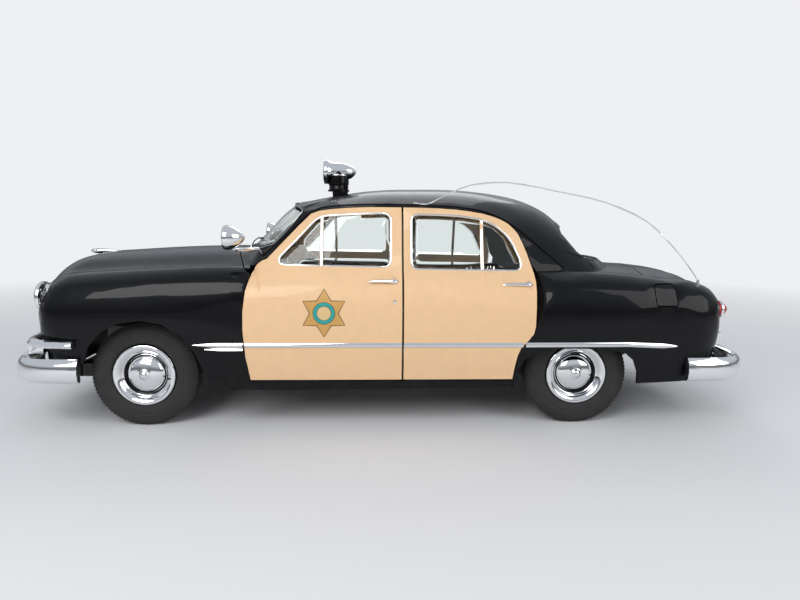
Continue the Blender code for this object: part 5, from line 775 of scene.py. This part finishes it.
# %% Side strips
STRIP_Z = 0.576
STRIP_HALF = 0.0155
STRIP_SECTION = [
    (-0.004, -1.0), (0.003, -1.0), (0.0055, -0.78), (0.0085, -0.3), (0.0095, 0.05), (0.0085, 0.35),
    (0.0050, 0.80), (0.003, 1.0), (-0.004, 1.0)
]
STRIP_SPANS = (
    ("front_fender", -1.087, -0.769), ("door_f", -0.757, 0.2535), ("door_r", 0.2665, 1.047),
    ("quarter", 1.064, 2.087),
)


def side_strip(tag, sign, kind, start, end):
    """One length of side strip, tapered to a point where it ends on a wing."""
    piece = f"{kind}{tag}" if kind.startswith("door") else f"{kind}_{tag}"
    xs = np.linspace(start, end, max(12, round((end - start) / 0.02)))
    drop_at = np.clip((xs - 1.75) / 0.34, 0, 1)
    path = on_side(piece, [(x + MIDDLE_X, STRIP_Z - 0.018 * d) for x, d in zip(xs, drop_at)], sign)
    scale = np.ones(len(xs))
    if kind == "front_fender":
        scale = np.clip((xs - start) / 0.16, 0.04, 1) ** 0.65
    if kind == "quarter":
        scale = np.clip((end - xs) / 0.10, 0.04, 1) ** 0.5
    section = [(out, up * STRIP_HALF) for out, up in STRIP_SECTION]
    made = sweep(f"strip_{piece}", path, section, CHROME, BODY_OF[piece], (0, sign, 0), scale=scale)
    if kind == "front_fender":
        lower = [(x + MIDDLE_X, STRIP_Z - STRIP_HALF - 0.013) for x in np.linspace(start + 0.075, end, 14)]
        taper = np.clip(np.linspace(0, 1, 14) / 0.35, 0.3, 1)
        ribs = [
            (-0.003, -0.011), (0.003, -0.011), (0.005, -0.008), (0.0025, -0.005), (0.005, -0.002),
            (0.0025, 0.001), (0.005, 0.005), (0.003, 0.009), (-0.003, 0.011)
        ]
        sweep(
                f"strip_lower_{piece}", on_side(piece, lower, sign), ribs, CHROME, BODY_OF[piece],
                (0, sign, 0), scale=taper
            )


for tag, sign in SIDES:
    for kind, start, end in STRIP_SPANS:
        side_strip(tag, sign, kind, start, end)
print("side strips:", 2 * len(STRIP_SPANS))

# %% Window mouldings, vent posts and handles
HEIGHT = 1.605
HALF_BASE = 1.448
FRONT_WINDOW = (
    (-0.3833, 0.6854), (-0.3764, 0.7028), (-0.2983, 0.7751), (-0.2189, 0.8523), (-0.1968, 0.8648),
    (-0.1657, 0.8710),
    (0.0, 0.8791), (0.1036, 0.8835), (0.1222, 0.8723), (0.1222, 0.6791), (0.1105, 0.6710),
    (-0.1727, 0.6748), (-0.3660, 0.6779),
)
REAR_WINDOW = (
    (0.2327, 0.6629), (0.2231, 0.6729), (0.2231, 0.8692), (0.2348, 0.8791), (0.3453, 0.8779),
    (0.4489, 0.8729), (0.5421, 0.8598),
    (0.6070, 0.8361), (0.6533, 0.8025), (0.6802, 0.7726), (0.6989, 0.7383), (0.7217, 0.6897),
    (0.7251, 0.6667), (0.7113, 0.6567), (0.4834, 0.6598),
)
WINDOWS = (
    ("door_f", FRONT_WINDOW, (-0.1885, 0.672, 0.871)), ("door_r", REAR_WINDOW, (0.5435, 0.659, 0.860))
)
MOULDING_SECTION = [
    (-0.006, -0.0065), (0.001, -0.0065), (0.0035, -0.0035), (0.0042, 0.0), (0.0035, 0.0035),
    (0.001, 0.0065), (-0.006, 0.0065)
]
POST_SECTION = [
    (-0.004, -0.008), (0.002, -0.008), (0.0045, -0.004), (0.0045, 0.004), (0.002, 0.008), (-0.004, 0.008)
]


def grown(loop, by):
    """A closed outline grown outwards."""
    ahead = np.roll(loop, -1, axis=0) - np.roll(loop, 1, axis=0)
    normal = np.stack([ahead[:, 1], -ahead[:, 0]], axis=1)
    normal /= np.linalg.norm(normal, axis=1, keepdims=True)
    area = (loop[:, 0] * np.roll(loop[:, 1], -1) - np.roll(loop[:, 0], -1) * loop[:, 1]).sum()
    return loop + normal * (by if area > 0 else -by)


def window_trim(tag, sign, kind, shares, post):
    """The bright moulding round a door's window, and the division post."""
    piece = f"{kind}{tag}"
    outline = np.array([(MIDDLE_X + x * HALF_BASE, z * HEIGHT) for x, z in shares])
    loop = softened(resampled(outline, 0.012, True), 3, True)
    path = on_side(piece, grown(loop, 0.0055), sign)
    path = softened(path, 2, True)
    sweep(f"moulding_{piece}", path, MOULDING_SECTION, CHROME, BODY_OF[piece], (0, sign, 0), True)
    at, low, high = post
    zs = np.linspace(low * HEIGHT, high * HEIGHT, 16)
    line = on_side(piece, [(MIDDLE_X + at * HALF_BASE, z) for z in zs], sign)
    inner = np.median(np.abs(line[3:-3, 1]) - np.interp(zs[3:-3], zs[[3, -4]], np.abs(line[[3, -4], 1])))
    straight = np.polyfit(zs[3:-3], np.abs(line[3:-3, 1]), 1)
    line[:, 1] = sign * (np.polyval(straight, zs) + inner)
    sweep(f"post_{piece}", line, POST_SECTION, CHROME, BODY_OF[piece], (0, sign, 0))


HANDLES = (("door_f", 0.030, 0.158, 0.612), ("door_r", 0.631, 0.766, 0.600))


def handle(tag, sign, kind, start, end, height):
    """A pull handle: a flattened lever that springs from a round boss and tapers to a curled tip."""
    piece = f"{kind}{tag}"
    z = height * HEIGHT
    low_x, high_x = MIDDLE_X + start * HALF_BASE, MIDDLE_X + end * HALF_BASE
    skin = [abs(drop(piece, (x, sign * OUTSIDE, z + 0.035), (0, -sign, 0))[1]) for x in (low_x, high_x)]
    xs = np.linspace(high_x + 0.004, low_x - 0.004, 26)
    base = np.interp(xs, [low_x, high_x], skin)
    stand = 0.038 - 0.030 * np.clip((xs - high_x + 0.030) / 0.034, 0, 1) ** 2
    lift = 0.006 * np.sin(np.linspace(0, math.pi, 26))
    path = np.stack([xs, sign * (base + stand), z + lift], axis=1)
    size = np.interp(np.linspace(0, 1, 26), [0, 0.15, 0.5, 0.9, 1.0], [0.9, 1.15, 1.0, 0.85, 0.45])
    lever = sweep(
        f"handle_{piece}", path, round_section(0.012, 14, 0.95), CHROME, BODY_OF[piece], (0, sign, 0),
        scale=size
    )
    boss_x = high_x - 0.020
    at_y = float(np.interp(boss_x, [low_x, high_x], skin))
    profile = [
        (0.0, 0.036), (0.012, 0.036), (0.018, 0.031), (0.020, 0.020), (0.026, 0.008), (0.028, 0.002),
        (0.028, -0.004), (0.0, -0.004)
    ]
    spun(f"boss_{piece}", profile, (boss_x, sign * at_y, z), (0, sign, 0), CHROME, BODY_OF[piece], 40)
    spun(
            f"foot_{piece}", [(0.0, 0.034), (0.009, 0.034), (0.010, 0.004), (0.012, -0.004), (0.0, -0.004)],
            (low_x + 0.020, sign * skin[0], z), (0, sign, 0), CHROME, BODY_OF[piece], 28
        )
    if kind == "door_f":
        lock_at = on_side(piece, [(0.207 + MIDDLE_X, 0.859)], sign)[0]
        rim = [
            (0.0, 0.0035), (0.006, 0.0035), (0.0065, 0.0050), (0.011, 0.0040), (0.0125, 0.001),
            (0.0125, -0.004), (0.0, -0.004)
        ]
        spun(f"lock_{piece}", rim, lock_at, (0, sign, 0), CHROME, BODY_OF[piece], 32)


def spun(name, profile, at, axis, look, body, steps=64, closed=False, squash=1.0):
    """A profile (radius, height) turned about an axis through a point."""
    axis = Vector(axis).normalized()
    turn = axis.to_track_quat("Z", "Y").to_matrix()
    points, faces = [], []
    count = len(profile)
    for k in range(steps):
        a = 2 * math.pi * k / steps
        for r, h in profile:
            points.append(Vector(at) + turn @ Vector((r * math.cos(a), r * math.sin(a) * squash, h)))
    for k in range(steps):
        for j in range(count if closed else count - 1):
            a, b = k * count + j, k * count + (j + 1) % count
            c, d = ((k + 1) % steps) * count + (j + 1) % count, ((k + 1) % steps) * count + j
            faces.append((a, b, c, d))
    return make(name, points, faces, look, body, crease=math.radians(38))


for tag, sign in SIDES:
    for kind, shares, post in WINDOWS:
        window_trim(tag, sign, kind, shares, post)
    for kind, start, end, height in HANDLES:
        handle(tag, sign, kind, start, end, height)
print("window trims and handles done")

# %% [markdown]
# ## Wheels
#
# A black pressed wheel carries a chrome trim ring, clipped in the rim's mouth, and a domed cap with a
# pointed boss. The tyre has a ribbed side and a tread: its shoulder lugs repeat, so a small node tree sets
# them round the crown and the result is baked.

# %% Tyres, trim rings and caps
TYRE_R = 0.347
TYRE_W = 0.172


def tyre_profile():
    """Bead, ribbed side, shoulder and a grooved crown: (radius, height) from the outer side in."""
    side = [
        (0.5915, 0.34), (0.600, 0.405), (0.622, 0.447), (0.655, 0.474), (0.700, 0.494), (0.735, 0.4985),
        (0.752, 0.4985), (0.757, 0.491), (0.768, 0.491), (0.773, 0.498), (0.800, 0.495), (0.850, 0.481),
        (0.862, 0.470), (0.870, 0.470), (0.880, 0.462), (0.920, 0.430), (0.950, 0.395), (0.972, 0.355),
        (0.984, 0.315)
    ]
    crown = []
    for edge in (0.235, 0.125, 0.015):
        crown += [
            (1.0, edge + 0.03 if edge < 0.2 else edge + 0.045), (0.998, edge), (0.982, edge - 0.008),
            (0.982, edge - 0.022), (0.998, edge - 0.03)
        ]
    half = side + crown
    whole = half + [(r, -h) for r, h in half[::-1]]
    return [(r * TYRE_R, h * TYRE_W) for r, h in whole]


def lug_tree(look):
    """A node tree that stands blocks round a circle and gives them a material."""
    tree = bpy.data.node_groups.new("shoulder_lugs", "GeometryNodeTree")
    face = tree.interface
    face.new_socket("Geometry", in_out="OUTPUT", socket_type="NodeSocketGeometry")
    for label, kind, value in (
        ("Lugs", "NodeSocketInt", 80), ("Radius", "NodeSocketFloat", 0.34),
        ("Size", "NodeSocketVector", (0.01, 0.02, 0.01))
    ):
        face.new_socket(label, in_out="INPUT", socket_type=kind).default_value = value
    add = Nodes(tree).add
    given = add("NodeGroupInput").outputs
    ring = add("GeometryNodeMeshCircle", {"Vertices": given["Lugs"], "Radius": given["Radius"]})
    block = add("GeometryNodeMeshCube", {"Size": given["Size"]})
    place = add("GeometryNodeInputPosition")
    turn = add("FunctionNodeAlignRotationToVector", {"Vector": place.outputs[0]}, axis="X")
    stood = add(
        "GeometryNodeInstanceOnPoints",
        {"Points": ring.outputs[0], "Instance": block.outputs["Mesh"], "Rotation": turn.outputs[0]}
    )
    real = add("GeometryNodeRealizeInstances", {0: stood.outputs[0]})
    dressed = add("GeometryNodeSetMaterial", {"Geometry": real.outputs[0], "Material": look})
    add("NodeGroupOutput", {0: dressed.outputs[0]})
    return tree


def lugs(name, tree, at, y_shift, body):
    """Shoulder lugs round one side of a tyre, baked to a mesh that stands where the wheel is."""
    holder = bpy.data.objects.new(name, bpy.data.meshes.new(name))
    bpy.context.scene.collection.objects.link(holder)
    modifier = holder.modifiers.new("lugs", "NODES")
    modifier.node_group = tree
    sockets = {item.name: item.identifier for item in tree.interface.items_tree if item.in_out == "INPUT"}
    modifier[sockets["Lugs"]] = 84
    modifier[sockets["Radius"]] = TYRE_R - 0.0115
    modifier[sockets["Size"]] = (0.0195, 0.0165, 0.019)
    bpy.context.view_layer.update()
    graph = bpy.context.evaluated_depsgraph_get()
    baked = bpy.data.meshes.new_from_object(holder.evaluated_get(graph))
    points = np.array([v.co for v in baked.vertices])
    stood_up = points[:, [0, 2, 1]] + np.array(at) + [0, y_shift, 0]
    bpy.data.objects.remove(holder)
    return make(
        name, stood_up, [p.vertices for p in baked.polygons], RUBBER, body, crease=math.radians(30), weld=0
    )


RING_PROFILE = (
    (0.1995, 0.0775), (0.203, 0.0800), (0.200, 0.0825), (0.192, 0.0840), (0.182, 0.0815), (0.170, 0.0740),
    (0.158, 0.0600), (0.150, 0.0460), (0.146, 0.0440), (0.1475, 0.0425), (0.157, 0.0560), (0.169, 0.0710),
    (0.181, 0.0790), (0.192, 0.0815)
)
CAP_PROFILE = (
    (0.0, 0.0950), (0.010, 0.0940), (0.022, 0.0885), (0.030, 0.0815), (0.034, 0.0780), (0.040, 0.0765),
    (0.060, 0.0735), (0.084, 0.0670), (0.104, 0.0575), (0.118, 0.0465), (0.126, 0.0375), (0.1305, 0.0300),
    (0.1335, 0.0290), (0.1335, 0.0240), (0.0, 0.0240)
)
TREE = lug_tree(RUBBER)
for end in "fr":
    for tag, sign in SIDES:
        wheel, tyre = f"wheel_{end}{tag}", f"tyre_{end}{tag}"
        low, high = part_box(tyre)
        middle = np.array((low + high) / 2)
        bpy.data.objects.remove(DRESSED.pop(tyre))
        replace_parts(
            spun(
                f"{tyre}_rubber", tyre_profile(), middle, (0, sign, 0), RUBBER, BODY_OF[tyre], 144,
                closed=True
            ),
            tyre
        )
        for k, shift in enumerate((-1, 1)):
            lugs(f"lugs_{end}{tag}_{k}", TREE, middle, shift * 0.0515, BODY_OF[tyre])
        spun(
                f"ring_{end}{tag}", RING_PROFILE, middle, (0, sign, 0), CHROME, BODY_OF[wheel], 96,
                closed=True
            )
        spun(f"cap_{end}{tag}", CAP_PROFILE, middle, (0, sign, 0), CHROME, BODY_OF[wheel], 96)
        valve = np.array(middle) + [0.150, sign * 0.060, -0.030]
        spun(
            f"valve_{end}{tag}",
            [
                (0.0, 0.022), (0.0035, 0.021), (0.004, 0.008), (0.0055, 0.004), (0.0055, -0.012),
                (0.0, -0.012)
            ],
            valve, (0, sign, 0), DARK_RUBBER, BODY_OF[wheel], 16
        )
print("wheels dressed")
# %% [markdown]
# ## Roof gear, glass surrounds and the plain badge
#
# The roof carries a siren: a chrome bullet with a flared mouth over a black drum. Rubber strips hold the
# two fixed screens, a drip rail runs over the doors and down the sail panel, and each front door carries a
# painted star. The star here is a plain one, with a plain ring, because the part carries no badge of any
# agency.

# %% Siren, drip rails, screen rubbers, wipers
siren = DRESSED["siren"].data
siren.materials.append(BLACK)
for polygon in siren.polygons:
    if polygon.center.z < 1.700 and polygon.center.x > -0.452:
        polygon.material_index = 1
DRUM = (-0.372, 0.0, 1.588)
DRUM_PROFILE = (
    (0.0, 0.0), (0.082, 0.0), (0.082, 0.010), (0.076, 0.014), (0.072, 0.022), (0.072, 0.048),
    (0.078, 0.052), (0.0785, 0.060),
    (0.0785, 0.112), (0.078, 0.118), (0.072, 0.122), (0.070, 0.150), (0.066, 0.152), (0.0, 0.152),
)
spun("siren_drum", DRUM_PROFILE, DRUM, (0, 0, 1), BLACK, "body", 72)
spun(
        "siren_drum_band",
        (
            (0.0780, 0.116), (0.0805, 0.117), (0.0812, 0.121), (0.0800, 0.125), (0.0700, 0.126),
            (0.0700, 0.116)
        ),
        DRUM, (0, 0, 1), CHROME, "body", 72, closed=True
    )
BELL_AT = (-0.482, 0.0, 1.735)
BELL_PROFILE = (
    (0.0, 0.030), (0.020, 0.028), (0.040, 0.030), (0.060, 0.020), (0.078, 0.004), (0.088, 0.000),
    (0.091, 0.003), (0.090, 0.008), (0.080, 0.012), (0.0, 0.040)
)
spun("siren_mouth", BELL_PROFILE, BELL_AT, (1, 0, 0), CHROME, "body", 72)
for k in range(8):
    a = 2 * math.pi * k / 8
    middle = Vector(BELL_AT) + Vector((0.014, 0.048 * math.cos(a), 0.048 * math.sin(a)))
    outwards = Vector((0, math.cos(a), math.sin(a)))
    vane = [middle + outwards * 0.030 * t for t in (-1, -0.3, 0.3, 1)]
    sweep(f"siren_vane_{k}", vane, round_section(0.006, 8, 0.35), STEEL, "body", (1, 0, 0))

RAIL = (
    (-0.462, 0.7075), (-0.3605, 0.7880), (-0.2970, 0.8480), (-0.2460, 0.8935), (-0.2072, 0.9060),
    (-0.1526, 0.9130), (-0.0691, 0.9185),
    (0.0304, 0.9220), (0.1776, 0.9215), (0.2762, 0.9205), (0.3543, 0.9180), (0.4282, 0.9140),
    (0.4938, 0.9075), (0.5525, 0.8985),
    (0.6100, 0.8830), (0.6600, 0.8620), (0.7200, 0.8270), (0.7800, 0.7850), (0.8425, 0.7375),
    (0.9050, 0.6900), (0.9600, 0.6450),
)
GUTTER = [
    (-0.004, -0.006), (0.004, -0.006), (0.0075, -0.002), (0.0078, 0.003), (0.0055, 0.004), (0.0030, 0.0015),
    (-0.004, 0.003)
]
for tag, sign in SIDES:
    line = softened(resampled([(MIDDLE_X + x * HALF_BASE, z * HEIGHT) for x, z in RAIL], 0.02), 3)
    path = softened(on_side("roof_shell", line, sign), 4)
    sweep(f"drip_rail_{tag}", path, GUTTER, BLACK, "body", (0, sign, 0))

RUBBER_SECTION = [
    (-0.008, -0.008), (0.001, -0.009), (0.0045, -0.005), (0.005, 0.0), (0.0045, 0.005), (0.001, 0.009),
    (-0.008, 0.008)
]
BEAD_SECTION = [(0.002, -0.003), (0.0062, -0.0015), (0.0062, 0.0015), (0.002, 0.003)]
for name in ("windshield", "rear_window"):
    ring, normals = RIMS[name]
    ring = ring + normals * 0.009
    spacing = resampled(np.hstack([ring, normals]), 0.015, True)
    ring, normals = softened(spacing[:, :3], 3, True), softened(spacing[:, 3:], 3, True)
    sweep(f"{name}_rubber", ring, RUBBER_SECTION, DARK_RUBBER, "body", normals, True)
    sweep(f"{name}_bead", ring, BEAD_SECTION, CHROME, "body", normals, True)


def on_screen(y, z):
    """A place on the windscreen's outer face, seen from the front."""
    return drop("windshield", (-2.5, y, z), (1, 0, 0))


bar = [on_screen(0.001, z) for z in np.linspace(1.195, 1.465, 14)]
bar = np.array([hit for hit in bar if hit is not None])
BAR_SECTION = [
    (-0.004, -0.011), (0.004, -0.011), (0.009, -0.004), (0.009, 0.004), (0.004, 0.011), (-0.004, 0.011)
]
sweep("windscreen_bar", bar, BAR_SECTION, CHROME, "body", (-0.7, 0, 0.7))
for tag, sign in SIDES:
    across, up = np.linspace(0.12, 0.46, 14), np.linspace(1.222, 1.236, 14)
    blade = np.array([on_screen(sign * y, z) for y, z in zip(across, up)])
    blade = blade + [-0.010, 0, 0.008]
    sweep(
            f"wiper_blade_{tag}", blade,
            [(-0.006, -0.0025), (0.006, -0.004), (0.006, 0.004), (-0.006, 0.0025)], DARK_RUBBER, "body",
            (-0.7, 0, 0.7)
        )
    pivot = np.array([-1.000, sign * 0.235, 1.158])
    end = blade[7] + [-0.008, 0, 0.006]
    middle = (pivot + end) / 2 + [-0.012, 0, 0.016]
    arm = softened(resampled([pivot + [0, 0, 0.012], middle, end], 0.012), 4)
    sweep(f"wiper_arm_{tag}", arm, round_section(0.0042, 10, 0.6), CHROME, "body", (-0.7, 0, 0.7))
    spun(
            f"wiper_pivot_{tag}",
            ((0.0, 0.024), (0.007, 0.022), (0.010, 0.010), (0.014, 0.003), (0.014, -0.006), (0.0, -0.006)),
            pivot, (-0.2, 0, 1), CHROME, "body", 32
        )
print("roof gear and screens done")

# %% The plain star on the front doors
STAR_AT = (-0.247 + MIDDLE_X, 0.785)
STAR_REACH = 0.152
STAR_POINTS = 6
STAR_GOLD = plain("star_gold_paint", (0.56, 0.31, 0.085), 0.35, scale=90, spread=0.10)
STAR_LINE = plain("star_outline_paint", (0.10, 0.055, 0.025), 0.4)
STAR_GREEN = plain("star_ring_paint", (0.02, 0.30, 0.27), 0.35, scale=90)
STAR_DISC = plain("star_disc_paint", (0.66, 0.47, 0.22), 0.35, scale=90)


def decal(name, outline, piece, sign, lift, look):
    """A painted shape: rings of points from its middle to its outline, dropped on to a door."""
    ring = resampled(outline, 0.006, True)
    steps = 14
    points = [(0.0, 0.0)] + [tuple(p * k / steps) for k in range(1, steps + 1) for p in ring]
    count = len(ring)
    faces = [(0, 1 + k, 1 + (k + 1) % count) for k in range(count)]
    for k in range(steps - 1):
        a, b = 1 + k * count, 1 + (k + 1) * count
        faces += [(a + j, b + j, b + (j + 1) % count, a + (j + 1) % count) for j in range(count)]
    placed = on_side(piece, [(STAR_AT[0] + x, STAR_AT[1] + z) for x, z in points], sign, lift)
    if sign > 0:
        faces = [face[::-1] for face in faces]
    return make(name, placed, faces, look, BODY_OF[piece], turn_out=False)


def star_outline(reach, share):
    """A star's outline with its first point up."""
    turns = [math.pi / 2 + math.pi * k / STAR_POINTS for k in range(2 * STAR_POINTS)]
    reaches = [reach * (share if k % 2 else 1) for k in range(2 * STAR_POINTS)]
    return [(math.cos(a) * out, math.sin(a) * out) for a, out in zip(turns, reaches)]


def circle(radius):
    """A circle's outline."""
    return round_section(radius, 72)


for tag, sign in SIDES:
    layers = (
        ("edge", star_outline(STAR_REACH + 0.006, 0.60), STAR_LINE),
        ("field", star_outline(STAR_REACH, 0.58), STAR_GOLD),
        ("rim", circle(0.072), STAR_LINE), ("ring", circle(0.069), STAR_GREEN),
        ("inner_rim", circle(0.046), STAR_LINE), ("disc", circle(0.0435), STAR_DISC),
    )
    for k, (part, outline, look) in enumerate(layers):
        decal(f"star_{part}_{tag}", outline, f"door_f{tag}", sign, 0.0006 + 0.0004 * k, look)
print("stars:", len(SIDES))

# %% Lamp rims and bonnet ornament
for tag, sign in SIDES:
    low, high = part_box(f"headlight_{tag}")
    at = np.array([low.x + 0.034, (low.y + high.y) / 2, (low.z + high.z) / 2])
    rim = (
        (0.0885, -0.010), (0.0985, -0.010), (0.1020, 0.000), (0.1010, 0.010), (0.0950, 0.017),
        (0.0885, 0.018), (0.0865, 0.012)
    )
    spun(f"headlight_rim_{tag}", rim, at, (-1, 0, 0), CHROME, "body", 72, closed=True)
    low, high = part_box(f"taillight_{tag}")
    at = np.array([high.x - 0.056, (low.y + high.y) / 2, (low.z + high.z) / 2])
    rim = (
        (0.0505, -0.012), (0.0590, -0.012), (0.0620, -0.002), (0.0590, 0.006), (0.0525, 0.009),
        (0.0500, 0.004)
    )
    spun(f"taillight_rim_{tag}", rim, at, (1, 0, 0), CHROME, "body", 56, closed=True)
ORNAMENT_AT = (-2.2720, 0.0, 1.1235)
ORNAMENT = (
    (0.0, -0.004), (0.008, 0.000), (0.015, 0.012), (0.0195, 0.034), (0.0205, 0.060), (0.0180, 0.110),
    (0.0125, 0.165), (0.0055, 0.215), (0.0, 0.224)
)
spun("bonnet_ornament", ORNAMENT, ORNAMENT_AT, (1, 0, 0), CHROME, "hood", 48)
wing_middle = np.array([ORNAMENT_AT[0] + 0.024, 0, ORNAMENT_AT[2] + 0.004])
wing = [wing_middle + [0.012 * abs(t), 0.045 * t, 0.006 - 0.010 * t * t] for t in np.linspace(-1, 1, 15)]
taper = 0.35 + 0.65 * (1 - np.abs(np.linspace(-1, 1, 15)) ** 1.6)
sweep(
        "bonnet_ornament_wing", wing, round_section(0.008, 14, 2.2), CHROME, "hood", (0, 0, 1), scale=taper
    )
print("lamps and ornament done")

# %% [markdown]
# ## Inner aprons
#
# With the hood or the lid up, a real car shows pressed aprons between the bay and the wheels. Each one is a
# bent sheet that stands clear of its tyre, with room at the front for the steering, and runs out under the
# wing.

# %% Inner aprons
APRONS = (("f", 0.175, 0.62, 0.42), ("r", 0.034, 0.50, 0.40))
APRON_OUT = 0.84
APRON_THICK = 0.004
APRON_RISE = 0.070


def apron(tyre, sign, clear, foot, reach):
    """A bent sheet inside a wheel: clear is its room inwards, foot its lower edge, reach its half length."""
    low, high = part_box(tyre)
    inner = min(abs(low.y), abs(high.y)) - clear
    crown = high.z + APRON_RISE
    skin = [
        (inner, foot), (inner, crown - 0.10), (inner + 0.03, crown - 0.05), (inner + 0.09, crown - 0.01),
        (APRON_OUT, crown)
    ]
    sheet = skin + [(y + APRON_THICK, z - APRON_THICK) for y, z in skin[::-1]]
    middle = (low.x + high.x) / 2
    path = [(middle - reach, 0, 0), (middle + reach, 0, 0)]
    made = sweep(f"apron_{tyre[5:]}", path, [(y, sign * z) for y, z in sheet], STEEL, "body", (0, sign, 0))


for end, clear, foot, reach in APRONS:
    for tag, sign in SIDES:
        apron(f"tyre_{end}{tag}", sign, clear, foot, reach)
print("aprons:", 2 * len(APRONS))

# %% [markdown]
# ## Seats
#
# Each bench is a sprung cushion and a squab in grey cloth, with sewn channels that run from front to back.
# The channels pull the cover in, and the cover swells between them, so each face is built as a crowned form
# whose surface is pressed in along even lines.

# %% Padded benches
def cushion(name, low, high, lean, look, crown=0.016, pitch=0.058, channel=0.0065, seat=True):
    """A padded form between two corners, channelled on its seating face and leaned about its middle."""
    low, high = Vector(low), Vector(high)
    half, middle = (high - low) / 2, (high + low) / 2
    shape = bmesh.new()
    bmesh.ops.create_cube(shape, size=2.0)
    bmesh.ops.subdivide_edges(shape, edges=shape.edges, cuts=9, use_grid_fill=True)
    long_edges = [e for e in shape.edges if abs(e.verts[0].co.y - e.verts[1].co.y) > 1e-6]
    bmesh.ops.subdivide_edges(shape, edges=long_edges, cuts=11, use_grid_fill=True)
    turn = Matrix.Rotation(lean, 3, "Y")
    for vertex in shape.verts:
        p = vertex.co.copy()
        reach = max(abs(c) for c in p)
        power = sum(abs(c) ** 7 for c in p) ** (1 / 7)
        round_ = p * (reach / power) if power else p
        place = Vector((round_.x * half.x, round_.y * half.y, round_.z * half.z))
        across = place.y / pitch * math.pi
        dent = channel * (abs(math.cos(across)) ** 0.55 - 1)
        face = p.z if seat else -p.x
        swell = max(0.0, min(1.0, (face + 0.15) / 0.6))
        flat = (1 - (p.x if seat else p.z) ** 2) * (1 - p.y**6)
        push = swell * (crown * flat + dent * (1 - 0.75 * abs(p.y) ** 12))
        place += Vector((0, 0, push)) if seat else Vector((-push, 0, 0))
        vertex.co = middle + turn @ place
    mesh = bpy.data.meshes.new(name)
    shape.to_mesh(mesh)
    shape.free()
    for polygon in mesh.polygons:
        polygon.use_smooth = True
    mesh.materials.append(look)
    made = bpy.data.objects.new(name, mesh)
    bpy.context.scene.collection.objects.link(made)
    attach(made, "body")
    return made


SEAT_INSET = 0.012
SEAT_TOP = 0.284
CUSHION_LEAN = math.radians(-3)
SQUAB_LEAN = math.radians(10)
for node in ("front_seat", "rear_seat"):
    low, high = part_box(node)
    left, right = low.y + SEAT_INSET, high.y - SEAT_INSET
    front, top = (low.x + SEAT_INSET, left, low.z + 0.060), (low.x + 0.500, right, low.z + SEAT_TOP)
    bottom = cushion(f"{node}_cushion", front, top, CUSHION_LEAN, SEAT_CLOTH)
    foot, head = (low.x + 0.455, left, low.z + 0.215), (low.x + 0.590, right, high.z - SEAT_INSET)
    cushion(f"{node}_squab", foot, head, SQUAB_LEAN, SEAT_CLOTH, seat=False)
    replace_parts(bottom, node)
    print(node, [round(v, 3) for v in (*low, *high)])
